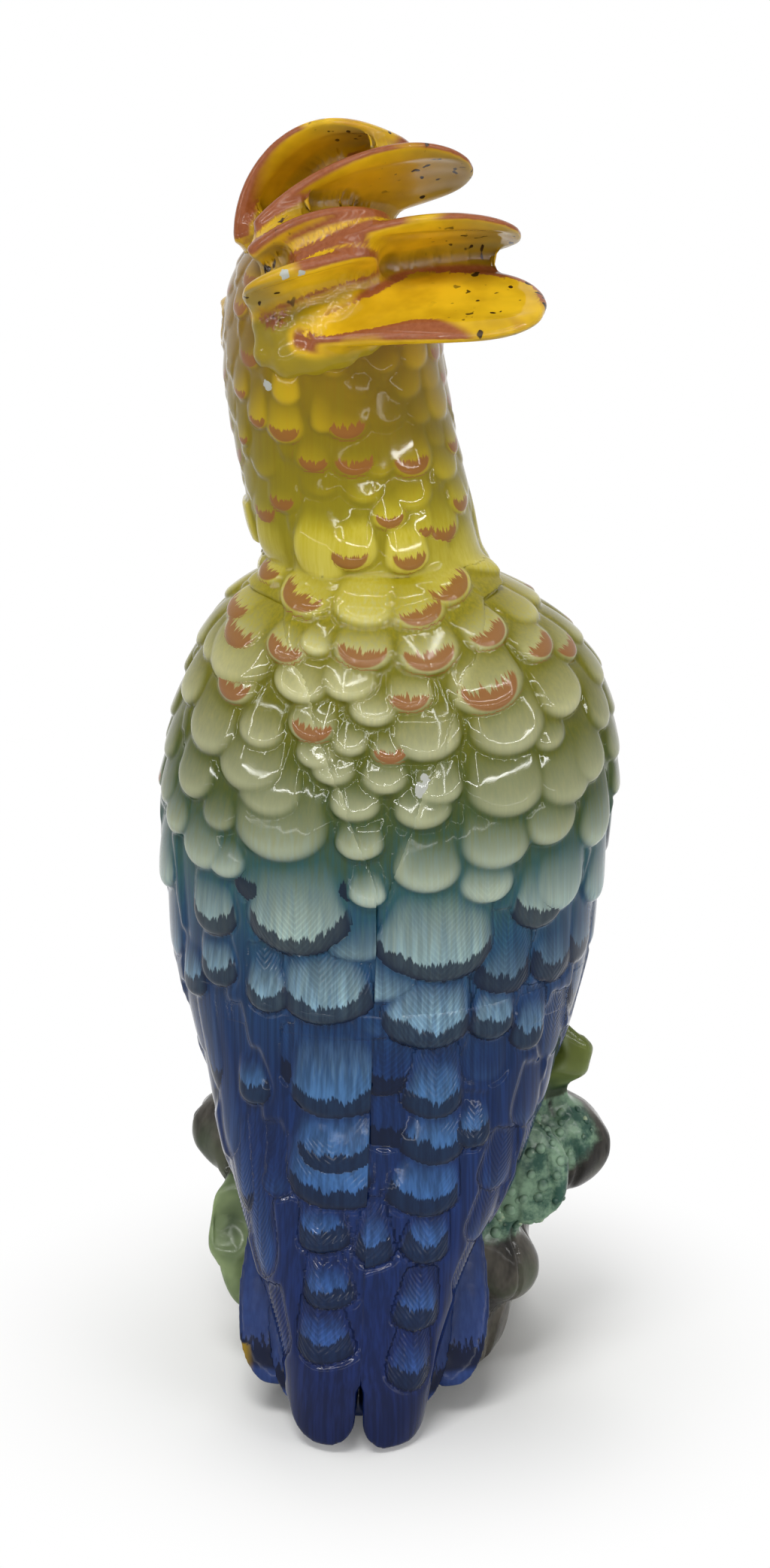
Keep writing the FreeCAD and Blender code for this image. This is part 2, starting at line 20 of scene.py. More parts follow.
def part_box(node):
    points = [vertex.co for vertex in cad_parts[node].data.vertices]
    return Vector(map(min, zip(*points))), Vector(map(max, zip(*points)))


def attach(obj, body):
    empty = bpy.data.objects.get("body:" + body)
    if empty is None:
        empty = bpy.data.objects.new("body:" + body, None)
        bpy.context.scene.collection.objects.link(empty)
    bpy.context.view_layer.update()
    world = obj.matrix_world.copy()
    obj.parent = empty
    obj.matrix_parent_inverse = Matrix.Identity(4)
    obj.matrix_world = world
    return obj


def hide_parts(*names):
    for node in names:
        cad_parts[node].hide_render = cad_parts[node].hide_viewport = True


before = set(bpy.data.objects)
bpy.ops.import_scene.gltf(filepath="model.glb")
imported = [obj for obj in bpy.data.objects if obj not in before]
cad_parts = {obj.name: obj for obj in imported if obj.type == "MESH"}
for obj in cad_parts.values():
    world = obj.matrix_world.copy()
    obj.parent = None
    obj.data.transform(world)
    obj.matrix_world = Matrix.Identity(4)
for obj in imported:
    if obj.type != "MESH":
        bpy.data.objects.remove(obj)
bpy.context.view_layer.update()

MM = 0.001

# %% [markdown]
# ## The camera
# The picture was taken from behind the bird and a little above it. The camera comes first
# because many scallops are later placed by where they sit in the photograph: a pixel is
# turned into a line of sight, and the scallop goes where that line meets the clay.

# %% The photograph's camera
PHOTO_WIDE, PHOTO_TALL = 1024, 2086     # size of the photograph in pixels
AIM = Vector((0, 0.010, 0.208))         # the point the camera looks at
RISE = math.radians(18)                 # how far above level it stands
AWAY = 1.40                             # its distance from the aim
FIELD = 0.516                           # height of the field of view at the aim

BACK = Vector((0, math.cos(RISE), math.sin(RISE)))
RIGHT = Vector((-1, 0, 0))
UP = RIGHT.cross(-BACK)
FOCAL = PHOTO_TALL * AWAY / FIELD       # focal length in photograph pixels


def make_camera():
    """Stands the camera behind the bird; the long side of the picture sets the lens."""
    data = bpy.data.cameras.new("camera")
    data.lens = data.sensor_width * AWAY / FIELD
    camera = bpy.data.objects.new("camera", data)
    camera.location = AIM + BACK * AWAY
    camera.rotation_euler = (-BACK).to_track_quat("-Z", "Y").to_euler()
    bpy.context.scene.collection.objects.link(camera)
    bpy.context.scene.camera = camera
    return camera


def sight(x, y):
    """The line of sight through a pixel of the photograph, as a direction."""
    line = -BACK + RIGHT * (x - PHOTO_WIDE / 2) / FOCAL - UP * (y - PHOTO_TALL / 2) / FOCAL
    return line.normalized()


EYE = make_camera().location
print("camera at", [round(v, 3) for v in EYE])

# %% [markdown]
# ## Soft clay
# A measured solid is a set of loose flat triangles. To model feathers on it, the skin has
# to be made of small even squares, like clay that takes a fingertip. Voxel remeshing does
# that. The pottery is hollow, so the inner wall is taken away first: it is never seen, and
# it would use half the faces.

# %% Copying a solid's outside
CLAY = bpy.context.scene.collection


def outside_of(node):
    """A merged copy of a node's mesh without the walls of its hollow."""
    mesh = bmesh.new()
    mesh.from_mesh(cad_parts[node].data)
    bmesh.ops.remove_doubles(mesh, verts=mesh.verts, dist=1e-6)
    if node.endswith("_shell"):
        tree = BVHTree.FromBMesh(mesh)
        inner = [face for face in mesh.faces
                 if tree.ray_cast(face.calc_center_median() + face.normal * 2e-5, face.normal)[0]]
        bmesh.ops.delete(mesh, geom=inner, context="FACES")
        rims = [edge for edge in mesh.edges if edge.is_boundary]
        bmesh.ops.holes_fill(mesh, edges=rims, sides=0)
    return mesh


def applied(piece):
    """Turns an object's modifiers into a plain mesh and takes them off."""
    bpy.context.view_layer.update()
    graph = bpy.context.evaluated_depsgraph_get()
    old, new = piece.data, bpy.data.meshes.new_from_object(piece.evaluated_get(graph))
    piece.modifiers.clear()
    piece.data = new
    bpy.data.meshes.remove(old)
    return piece


def piece_of(mesh, name):
    """Makes an object from a worked mesh and frees the working copy."""
    data = bpy.data.meshes.new(name)
    mesh.to_mesh(data)
    mesh.free()
    piece = bpy.data.objects.new(name, data)
    CLAY.objects.link(piece)
    return piece


def remeshed(piece, grain):
    remesh = piece.modifiers.new("grain", "REMESH")
    remesh.mode, remesh.voxel_size = "VOXEL", grain * 1.0
    return applied(piece)


def clay(name, nodes, grain):
    """One skin of even squares round one or more solids."""
    whole = bmesh.new()
    for node in nodes:
        part = outside_of(node)
        data = bpy.data.meshes.new("part")
        part.to_mesh(data)
        part.free()
        whole.from_mesh(data)
        bpy.data.meshes.remove(data)
    return remeshed(piece_of(whole, name), grain)


def middle_of(node):
    """The middle of a measured solid's box."""
    low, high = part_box(node)
    return (low + high) / 2


def tell(piece):
    """Prints how many triangles a piece has."""
    print(piece.name, "triangles", sum(len(face.vertices) - 2 for face in piece.data.polygons))
    return piece


def finished(piece):
    """Shades a piece softly, as clay is, and counts it."""
    piece.data.shade_smooth()
    return tell(piece)


def remove(pieces):
    """Takes working copies away once nothing needs them."""
    for piece in pieces:
        bpy.data.objects.remove(piece)


# %% [markdown]
# Modelling then means moving thousands of points at once. Arrays are quicker than loops
# for this, so these helpers read a mesh's points into an array and write them back, and
# one of them blurs a value over the skin, which is how a fingertip smooths clay.

# %% A mesh as arrays
def points_of(mesh):
    """The places of a mesh's points, one row each; the next two read normals and edges."""
    values = np.empty(len(mesh.vertices) * 3)
    mesh.vertices.foreach_get("co", values)
    return values.reshape(-1, 3)


def normals_of(mesh):
    values = np.empty(len(mesh.vertices) * 3, dtype=np.float32)
    mesh.vertex_normals.foreach_get("vector", values)
    return values.reshape(-1, 3).astype(float)


def edges_of(mesh):
    values = np.empty(len(mesh.edges) * 2, dtype=np.int32)
    mesh.edges.foreach_get("vertices", values)
    return values.reshape(-1, 2)


def set_points(mesh, points):
    """Writes places back into a mesh."""
    mesh.vertices.foreach_set("co", np.ascontiguousarray(points, dtype=np.float32).ravel())
    mesh.update()


def blur(values, edges, rounds):
    """Draws each value towards its neighbours' mean, a number of times."""
    one, two = edges[:, 0], edges[:, 1]
    size = len(values)
    count = np.maximum(np.bincount(edges.ravel(), minlength=size), 1)
    columns = values.reshape(size, -1).T.copy()
    for _ in range(rounds):
        for row in columns:
            mean = (np.bincount(one, row[two], size) + np.bincount(two, row[one], size)) / count
            row += 0.6 * (mean - row)
    return columns.T.reshape(values.shape)


def smooth(piece, rounds):
    """Smooths a skin by blurring the places of its points."""
    set_points(piece.data, blur(points_of(piece.data), edges_of(piece.data), rounds))
    return piece


def keep(mesh, **named):
    """Stores one number for each point under each name, for a material to read."""
    for name, values in named.items():
        layer = mesh.attributes.get(name) or mesh.attributes.new(name, "FLOAT", "POINT")
        layer.data.foreach_set("value", np.ascontiguousarray(values, dtype=np.float32))


def kept(mesh, name):
    """Reads such numbers back."""
    return np.array([item.value for item in mesh.attributes[name].data])


def arrays_of(mesh):
    """All three at once."""
    return points_of(mesh), normals_of(mesh), edges_of(mesh)


def unit(values):
    """Cuts values off at 0 and at 1."""
    return np.clip(values, 0, 1)


def nearest(points, others):
    """For each point the number of the nearest one of some others, and its distance."""
    tree = KDTree(len(others))
    for number, place in enumerate(others):
        tree.insert(place, number)
    tree.balance()
    found = [tree.find(place)[1:] for place in points]
    return np.array([number for number, _ in found]), np.array([away for _, away in found])


def hollows(points, normals, edges, rounds):
    """How deep each point lies below the skin round it."""
    return ((blur(points, edges, rounds) - points) * normals).sum(axis=1)


# %% [markdown]
# ## The mantle's plain form
# Seen from behind, the folded wings and the back between them are one rounded form, the
# mantle. Below, its outline is a short table of level ellipses. It has two uses: the bare
# back between the wings is brought out flush with them, and feathers lean along it.

# %% Level ellipses of the mantle
MANTLE = np.array((                     # height, centre x and y, half width, half depth, in mm
    (2, 9.4, 67.0, 21.0, 16.3), (50.8, 8.0, 52.7, 33.8, 24.1), (88.5, 3.5, 36.4, 49.9, 34.1),
    (122.0, 1.5, 18.4, 60.9, 48.8), (155.5, 1.1, 4.4, 70.2, 61.8), (173.6, 0.8, 1.7, 72.6, 64.4),
    (191.7, -0.2, 0.7, 74.6, 65.3), (209.9, -1.7, 0.7, 75.0, 65.0), (228.0, -2.6, 0.7, 72.6, 62.1),
    (244.7, -2.7, 1.0, 67.9, 57.5), (260.1, -0.8, 1.7, 58.9, 50.4), (272.6, 2.3, 2.0, 48.0, 42.9),
    (281.0, 3.0, 2.0, 39.0, 35.8))) * MM


def level(height, column):
    """One column of the table at any height."""
    return np.interp(height, MANTLE[:, 0], MANTLE[:, column])


def spread(height):
    """How fast the mantle widens on the way up, per metre and per metre of width."""
    step = 0.008
    return (level(height + step, 3) - level(height - step, 3)) / (2 * step * level(height, 3))


print("mantle's widest, in mm", round(2 * MANTLE[:, 3].max() / MM))

# %% [markdown]
# The torso and the head are one skin while they are modelled, so that no seam shows round
# the neck. They are parted again once their feathers are modelled.

# %% Bare clay of the bird
BIRD_GRAIN, WING_GRAIN = 0.80 * MM, 0.72 * MM          # size of the skins' squares
bird = smooth(clay("bird", ["torso_shell", "head_shell"], BIRD_GRAIN), 14)
left_wing = smooth(clay("wing_left", ["left_wing"], WING_GRAIN), 3)
right_wing = smooth(clay("wing_right", ["right_wing"], WING_GRAIN), 3)
for piece in (bird, left_wing, right_wing):
    print(piece.name, len(piece.data.vertices), "points")


THICKER = 0.30                          # mm that each wing grows by, which closes its edges
LEDGE, LEDGE_TALL = 0.262, 0.019        # where its top ledge begins, and its height
TUCKS = ((0, 1, 0.13), (1, 2, 0.08))    # axis, its column in the table, share drawn in


def shoulder(wing):
    """Grows a wing a hair, and slopes its top ledge in to the neck."""
    points = points_of(wing.data) + normals_of(wing.data) * THICKER * MM
    share = unit((points[:, 2] - LEDGE) / LEDGE_TALL) ** 2
    for axis, column, tuck in TUCKS:
        centre = level(points[:, 2], column)
        points[:, axis] = centre + (points[:, axis] - centre) * (1 - tuck * share)
    set_points(wing.data, points)


for wing in (left_wing, right_wing):
    shoulder(wing)


def tree_of(pieces):
    """A search tree of several skins, to find where a line of sight meets them."""
    points, faces, start = [], [], 0
    for piece in pieces:
        mesh = piece.data
        points += [vertex.co.copy() for vertex in mesh.vertices]
        faces += [[start + i for i in face.vertices] for face in mesh.polygons]
        start += len(mesh.vertices)
    return BVHTree.FromPolygons(points, faces)


# %% Bringing the back out flush with the wings
BACK_LOW, BACK_HIGH = 0.13, 0.2845      # the back is brought out between these heights
DEEPEST = 0.012                         # a wing further off than this covers nothing


def bring_out(piece, wings):
    """Moves the back's bare points out to the mantle, and a little way under the wings."""
    mesh = piece.data
    points, normals, edges = arrays_of(mesh)
    cover = tree_of(wings)
    bare = np.zeros(len(points))
    for i in np.flatnonzero((normals[:, 1] > 0.15) & (points[:, 2] > BACK_LOW)):
        out = Vector(normals[i])
        bare[i] = cover.ray_cast(Vector(points[i]) + out * 1e-4, out, DEEPEST)[0] is None
    mask = unit(blur(bare, edges, 12) * 5.0)
    mask *= unit((BACK_HIGH - points[:, 2]) / 0.004)
    x = points[:, 0] - level(points[:, 2], 1)
    y = points[:, 1] - level(points[:, 2], 2)
    ratio = np.hypot(x / level(points[:, 2], 3), y / level(points[:, 2], 4))
    grow = np.clip(1 / np.maximum(ratio, 0.5) - 1, 0, 0.35) * mask
    points[:, 0] += x * grow
    points[:, 1] += y * grow
    set_points(mesh, points)
    print("back brought out by up to %.1f mm" % (np.hypot(x * grow, y * grow).max() / MM))


bring_out(bird, [left_wing, right_wing])
smooth(bird, 3)
BODY = tree_of([bird, left_wing, right_wing])

# %% [markdown]
# ## Feathers
# Each scallop on the pottery is a puffy tongue: a round tip that stands proud, sides that
# roll over, and a root that sinks under the row above. One rule for the height over the
# plain form makes them all. Where two overlap the higher one shows, as with shingles.

# %% One feather as numbers
BARE_CLAY, RUST_TIP, NAVY_TIP = range(3)    # the three kinds of paint at a tip
SHORTEST = 0.018                        # no feather of the back is shorter than this


def feather(place, out, width, length, height, paint=BARE_CLAY, blunt=0.40):
    """A feather by its tip, the way it faces, its sizes and its paint."""
    x = place[0] - level(place[2], 1)
    down = Vector((-x * spread(place[2]), 0, -1))
    down = (down - out * down.dot(out)).normalized()
    side = out.cross(down)
    return {"tip": np.array(place), "out": np.array(out), "down": np.array(down),
            "side": np.array(side), "half": width / 2, "length": length, "height": height,
            "paint": paint, "round": blunt * width}


def seen(x, y, width, length, height, paint=BARE_CLAY, blunt=0.40):
    """A feather whose tip is at a pixel of the photograph; its width is in pixels too."""
    place, out, _, away = BODY.ray_cast(EYE, sight(x, y))
    if place is None:
        return None
    across = out.cross(Vector((0, 0, 1))).normalized()
    wide = width * away / FOCAL / max(abs(across.dot(RIGHT)), 0.55)
    return feather(place, out, wide, max(length * wide, SHORTEST), height * MM, paint, blunt)


# %% [markdown]
# The scallops that the photograph shows are listed by the pixel of their tip and their
# width in pixels. Each list is one kind of paint: bare ones, ones with a rust-brown touch
# at the tip, and ones with a navy touch.

# %% Feathers of the back, by pixels of the photograph
BARE = (                                # pixel x and y of the tip, width in pixels
    (477, 839, 100), (411, 874, 54), (292, 909, 88), (389, 937, 88), (457, 937, 92),
    (758, 954, 70), (495, 970, 80), (339, 998, 70), (271, 1004, 74), (463, 1009, 62),
    (688, 1008, 116), (568, 1017, 112), (419, 1027, 70), (253, 1063, 54), (326, 1058, 102),
    (441, 1048, 74), (511, 1060, 78), (584, 1074, 80), (680, 1091, 120), (355, 1092, 102),
    (471, 1096, 80), (563, 1106, 90), (756, 1074, 84), (370, 1150, 143), (270, 1158, 68),
    (478, 1147, 76), (569, 1191, 106), (659, 1160, 108), (732, 1126, 82), (790, 1126, 56),
    (645, 1204, 84), (788, 1042, 54), (234, 1110, 46), (417, 772, 72), (740, 1215, 80),
    (222, 1180, 50), (790, 1200, 54), (300, 1170, 60), (488, 1210, 60), (246, 935, 50))
RUST = (
    (465, 760, 74), (546, 765, 66), (617, 801, 84), (382, 815, 84), (302, 824, 50),
    (572, 838, 90), (667, 861, 76), (732, 876, 54), (304, 863, 60), (367, 883, 72),
    (477, 896, 98), (579, 900, 102), (302, 935, 62), (546, 952, 78), (663, 952, 116),
    (411, 992, 80), (519, 1020, 66))
NAVY = (
    (396, 1274, 146), (285, 1246, 66), (717, 1236, 78), (584, 1309, 154), (430, 1366, 118),
    (359, 1348, 66), (292, 1314, 56), (261, 1326, 38), (571, 1398, 116), (652, 1385, 66),
    (700, 1397, 52), (442, 1491, 118), (339, 1471, 50), (575, 1491, 84), (443, 1567, 108),
    (575, 1553, 88), (626, 1528, 54), (448, 1611, 138), (563, 1621, 96), (428, 1669, 64),
    (494, 1689, 76), (564, 1683, 66), (432, 1744, 60), (425, 1816, 66), (556, 1773, 60),
    (548, 1851, 56))
FLIGHTS = (                             # long narrow quills that end along the wing's edge
    (262, 1400, 34), (288, 1452, 34), (310, 1545, 32), (330, 1620, 30), (352, 1700, 32),
    (760, 1350, 36), (742, 1440, 36), (714, 1520, 36), (684, 1610, 34), (650, 1690, 34),
    (618, 1770, 34))


def back_feathers():
    """Every listed feather of the back and wings, where its line of sight meets the clay."""
    made = [seen(x, y, w * 1.06, 1.10, 3.7) for x, y, w in BARE]
    made += [seen(x, y, w * 1.06, 1.10, 3.7, RUST_TIP) for x, y, w in RUST]
    made += [seen(x, y, w * 1.04, 1.25, np.interp(y, (1300, 1600, 1850), (3.7, 3.0, 2.0)),
                  NAVY_TIP) for x, y, w in NAVY]
    made += [seen(x, y, w, 6.5, 1.3, NAVY_TIP if i % 2 else BARE_CLAY, 0.9)
             for i, (x, y, w) in enumerate(FLIGHTS)]
    made = [item for item in made if item]
    print("listed feathers of the back", len(made))
    return made


# %% [markdown]
# The photograph doesn't show the sides and the breast. There the same scallops go on in
# staggered rows round the form, and a row leaves a place free where a listed one is near.

# %% Rows of feathers where the photograph doesn't reach
def ring(skin, middle, row, count, reach, dice=None, stray=0.0, wander=0.0):
    """Meets a skin from all round at one height; every other row starts half a step on."""
    for place in range(count):
        off = dice.uniform(-stray, stray) if stray else 0.0
        turn = (place + 0.5 * (row % 2) + off) / count * 2 * math.pi
        line = Vector((math.cos(turn), math.sin(turn), 0))
        lift = dice.uniform(-1, 1) * wander if wander else 0.0
        start = Vector((middle[0], middle[1], middle[2] + lift)) + line * reach
        hit, out, _, _ = skin.ray_cast(start, -line)
        if hit is not None:
            yield hit, out, line, place


def crowded(hit, tips, room):
    """Whether a listed tip is nearer than the room that a new feather needs."""
    return min((np.linalg.norm(np.array(hit) - tip) for tip in tips), default=1) < room


BANDS = (               # top, bottom, step and width in m, height in mm, rust, navy, seed
    (0.279, 0.196, 0.0125, 0.0205, 3.1, 0.30, 0.0, 3),
    (0.196, 0.140, 0.0150, 0.0240, 2.2, 0.0, 0.5, 5),
    (0.140, 0.014, 0.0190, 0.0200, 1.1, 0.0, 0.3, 7))


def rows(listed, top, bottom, step, width, height, rust, navy, seed):
    """Staggered rings of feathers round the body, kept clear of the listed ones."""
    made, dice = [], np.random.default_rng(seed)
    tips = [item["tip"] for item in listed]
    for row, z in enumerate(np.arange(top, bottom, -step)):
        around = 2 * math.pi * math.sqrt(level(z, 3) * level(z, 4))
        middle, count = (level(z, 1), level(z, 2), z), max(8, round(around / (width * 0.80)))
        for hit, out, line, _ in ring(BODY, middle, row, count, 0.3, dice, 0.08, MM):
            if out.dot(line) < 0.2 or crowded(hit, tips, width * 0.62):
                continue
            wide, roll = width * dice.uniform(0.9, 1.12), dice.uniform()
            paint = RUST_TIP if roll < rust else NAVY_TIP if roll > 1 - navy else BARE_CLAY
            made.append(feather(hit, out, wide, wide * 1.2, height * MM, paint))
    return made


FEATHERS = back_feathers()
for band in BANDS:
    FEATHERS += rows(FEATHERS, *band)
print("feathers of the body", len(FEATHERS))

# %% The height of the plumage
PLACES = ("along", "across", "side", "up", "rust", "navy", "tone")


def plumage(points, normals, feathers):
    """For each point: the height of the feather over it, and its place on that feather."""
    size = len(points)
    top = {name: np.zeros(size) for name in ("height",) + PLACES}
    top["along"] += 0.05
    for number, item in enumerate(feathers):
        reach = item["length"] + item["half"]
        near = np.flatnonzero(np.abs(points - item["tip"]).max(axis=1) < reach)
        way = points[near] - item["tip"]
        faces = normals[near] @ item["out"] > 0.1
        near, way = near[faces], way[faces]
        up, side = -(way @ item["down"]), way @ item["side"]
        half, tip = item["half"], item["round"]
        root = unit(up / item["length"])
        share = np.abs(side) / (half * (1 - 0.40 * root ** 1.5))
        bend = np.hypot(share, np.clip(tip - up, 0, None) / tip)
        inset = (1 - bend) * min(half, tip * 1.3)
        ok = (inset > 0) & (up < item["length"]) & (np.abs(way @ item["out"]) < 0.022)
        near, up, side, share, inset, root = (v[ok] for v in (near, up, side, share, inset, root))
        roll = unit(inset / (0.0014 + 0.30 * half))
        edge = np.sqrt(1 - (1 - roll) ** 2)
        slope = 1 - root ** 1.25
        puff = 0.80 + 0.20 * (1 - share ** 2)
        height = item["height"] * edge * slope * puff
        wins = height > top["height"][near]
        at = near[wins]
        top["height"][at] = height[wins]
        top["along"][at] = (up - tip * (1 - np.sqrt(unit(1 - share ** 2))))[wins]
        top["across"][at] = side[wins]
        top["side"][at] = share[wins]
        top["up"][at] = up[wins] / (2 * half)
        top["rust"][at] = item["paint"] == RUST_TIP
        top["navy"][at] = item["paint"] == NAVY_TIP
        top["tone"][at] = (number * 0.618) % 1
    return top


# %% Modelling the feathers into the clay
TRIANGLES = 190000                      # a skin with more than this is thinned
FULL_RISE = (                           # heights over the floor, and a full feather's mm there
    (0.050, 0.150, 0.210, 0.275, 0.297), (1.7, 2.9, 4.0, 4.0, 1.7))


def model(piece, feathers, sink, limit=TRIANGLES, extra=None):
    """Raises the feathers on a skin, thins its faces and stores what the glaze needs."""
    mesh = piece.data
    points, normals, edges = arrays_of(mesh)
    height = plumage(points, normals, feathers)["height"]
    cover = blur((height > 0).astype(float), edges, 8)
    height = blur(height, edges, 1)
    if extra:
        height = height + extra(points)
    soft = blur(normals, edges, 4)
    soft /= np.linalg.norm(soft, axis=1)[:, None]
    set_points(mesh, points + soft * (height - sink * cover)[:, None])
    full = np.interp(points[:, 2], *FULL_RISE) * MM
    # The depth below the neighbours and the share of full height later choose pooled glaze and
    # painted shade in the hollows.
    keep(mesh, pool=blur(height, edges, 50) - height, rise=height / full)
    if len(mesh.polygons) * 2 > limit:
        thin = piece.modifiers.new("thin", "DECIMATE")
        thin.ratio = limit / (len(mesh.polygons) * 2)
        mesh = applied(piece).data
    points, normals, edges = arrays_of(mesh)
    places = plumage(points, blur(normals, edges, 3), feathers)
    keep(mesh, **{name: places[name] for name in PLACES})
    return finished(piece)


def meet(wing):
    """Draws the wings' inner edges together, so that only their tips stay apart."""
    points = points_of(wing.data)
    middle = np.interp(points[:, 2], (0.010, 0.075, 0.170), (0.0085, 0.0062, 0.0028))
    draw = np.interp(points[:, 2], (0.022, 0.034, 0.175, 0.190), (0, 0.0048, 0.0040, 0))
    off = points[:, 0] - middle
    move = np.minimum(draw * unit(1.25 - np.abs(off) / 0.011), np.abs(off))
    points[:, 0] -= np.sign(off) * move
    set_points(wing.data, points)


for piece in (left_wing, right_wing):
    model(piece, FEATHERS, sink=1.7 * MM)
    meet(piece)

# %% [markdown]
# ## Head and neck
# The head carries smaller, flatter scallops than the mantle, with rust touches that were
# dabbed on before glazing. They too are listed by pixels, and rows finish the other side.

# %% Feathers of the head, by pixels of the photograph
HEAD_RUST = (
    (318, 534, 20), (342, 572, 24), (378, 592, 44), (322, 594, 16), (462, 589, 52),
    (416, 632, 42), (471, 638, 56), (552, 637, 50), (608, 605, 24), (616, 684, 26),
    (373, 684, 34), (352, 700, 28), (519, 706, 40), (593, 726, 38), (563, 719, 30),
    (326, 386, 26), (314, 424, 26), (377, 474, 44), (352, 360, 24))
HEAD_BARE = (
    (424, 667, 62), (484, 674, 66), (552, 682, 60), (440, 720, 70), (505, 640, 50),
    (430, 580, 40), (350, 640, 44), (590, 560, 44), (600, 640, 40), (380, 540, 40))


def head_feathers():
    """The listed feathers of the head and neck."""
    made = [seen(x, y, w * 1.45, 1.0, 1.7, RUST_TIP) for x, y, w in HEAD_RUST]
    made += [seen(x, y, w * 1.1, 1.0, 1.4) for x, y, w in HEAD_BARE]
    return [item for item in made if item]


HEAD_TOP, HEAD_LOW, HEAD_STEP = 0.384, 0.287, 0.0088    # heights of the rings of feathers
PER_RING, ROOM = 17, 0.009              # feathers in a ring, and the room that each needs


def head_rows(listed):
    """Rings of small feathers from the crown down to the neck."""
    made, dice = [], np.random.default_rng(11)
    middle, tips = middle_of("head_shell"), [item["tip"] for item in listed]
    for row, z in enumerate(np.arange(HEAD_TOP, HEAD_LOW, -HEAD_STEP)):
        for hit, out, _, _ in ring(BODY, (*middle.xy, z), row, PER_RING, 0.2, dice, 0.1):
            if not crowded(hit, tips, ROOM):
                wide = dice.uniform(0.0140, 0.0180)
                paint = RUST_TIP if dice.uniform() < 0.30 else BARE_CLAY
                made.append(feather(hit, out, wide, wide * 0.9, 1.0 * MM, paint))
    return made


CROWN = head_feathers()
CROWN += head_rows(CROWN)
print("feathers of the head", len(CROWN))

# %% [markdown]
# Round each eye the clay swells into a soft lid, and the head as a whole isn't as even as a
# turned pot. Both are added while the skin is modelled. Then the skin is parted at the neck.

# %% Lids, and parting the head from the torso
LID = 6.7 * MM                          # radius of the ring of clay round an eye


def waves(points, scales, seed):
    """Soft random lumps: a sum of a few sine waves that run in random directions."""
    dice, total = np.random.default_rng(seed), np.zeros(len(points))
    for _ in range(24):
        way = dice.normal(size=3)
        way *= np.array(scales) / np.linalg.norm(way)
        total += np.sin(points @ way + dice.uniform(0, 6.28))
    return total / math.sqrt(12)


def swell(points):
    """Lids round the eyes, and slow lumps over the head and neck."""
    height = waves(points, (150, 150, 110), 4) * 0.35 * MM * unit((points[:, 2] - 0.27) / 0.03)
    for node in ("left_eye", "right_eye"):
        way = points - np.array(middle_of(node))
        away = np.linalg.norm(way, axis=1)
        full = (2.4 - 1.4 * np.clip(way[:, 1] / (4 * MM), -0.2, 1)) * MM
        height += full * np.exp(-((away - LID) / (2.1 * MM)) ** 2)
    return height


def part_at(piece, height, name, above):
    """A copy of the part of a skin above or below a level, closed, with its shading kept."""
    normals = normals_of(piece.data)
    mesh = bmesh.new()
    mesh.from_mesh(piece.data)
    index = mesh.verts.layers.int.new("index")
    for vertex in mesh.verts:
        vertex[index] = vertex.index + 1
    gone = [f for f in mesh.faces if (f.calc_center_median().z > height) != above]
    bmesh.ops.delete(mesh, geom=gone, context="FACES")
    rims = [edge for edge in mesh.edges if edge.is_boundary]
    bmesh.ops.holes_fill(mesh, edges=rims, sides=0)
    bmesh.ops.triangulate(mesh, faces=[f for f in mesh.faces if len(f.verts) > 4])
    shading = [tuple(normals[vertex[index] - 1]) for vertex in mesh.verts]
    part = piece_of(mesh, name)
    part.data.normals_split_custom_set_from_vertices(shading)
    return tell(part)


model(bird, FEATHERS + CROWN, sink=1.2 * MM, limit=1.5 * TRIANGLES, extra=swell)
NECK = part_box("head_shell")[0].z
head, torso = part_at(bird, NECK, "head", True), part_at(bird, NECK, "torso", False)
remove([bird])

# %% [markdown]
# The thighs are small feathered cushions at the front. They take the same scallops, smaller
# still, in rings round their own middle.

# %% Thighs
def thigh(name, node):
    """One thigh with its rings of feathers; every other feather has a navy touch."""
    piece = smooth(clay(name, [node], 0.80 * MM), 4)
    skin, middle, (low, high) = tree_of([piece]), middle_of(node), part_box(node)
    made = [feather(hit, out, 0.0135, 0.0150, 2.0 * MM, NAVY_TIP if place % 2 else BARE_CLAY)
            for row, z in enumerate(np.arange(high.z - 5 * MM, low.z + 3 * MM, -8 * MM))
            for hit, out, _, place in ring(skin, (*middle.xy, z), row, 11, 0.08)]
    return model(piece, made, sink=1.0 * MM)


thighs = [thigh(side + "_thigh_feathers", side + "_thigh") for side in ("left", "right")]

# %% [markdown]
# ## Leaves, crest and tail
# These are blades: longer than wide, and thin. Their measured solids have the right bend,
# but the pottery's blades are dished, with a rolled rim. To dish one, each point needs its
# place on the blade: how far along it lies, and how far across. Both come from the blade's
# own middle line, which is found by slicing it along its length.

# %% Dishing a blade
SLICES = 24                             # a blade's middle line is found in so many slices
RIM = 0.70                              # the rolled rim starts at this share of the width


def blade_places(points, root):
    """Each point's share of the length and of the half width, and the way the blade faces."""
    centre = points.mean(axis=0)
    axes = np.linalg.eigh(np.cov((points - centre).T))[1]
    long, wide, thin = axes[:, 2], axes[:, 1], axes[:, 0]
    if (np.array(root) - centre) @ long > 0:
        long = -long
    along = (points - centre) @ long
    share = (along - along.min()) / np.ptp(along)
    bins = np.clip((share * SLICES).astype(int), 0, SLICES - 1)
    across = (points - centre) @ wide
    middle, half = np.zeros(SLICES), np.ones(SLICES)
    for i in range(SLICES):
        here = across[bins == i]
        if len(here):
            middle[i] = (here.max() + here.min()) / 2
            half[i] = max(np.ptp(here) / 2, 1e-4)
    knots = (np.arange(SLICES) + 0.5) / SLICES
    across = (across - np.interp(share, knots, middle)) / np.interp(share, knots, half)
    return share, np.clip(across, -1, 1), thin


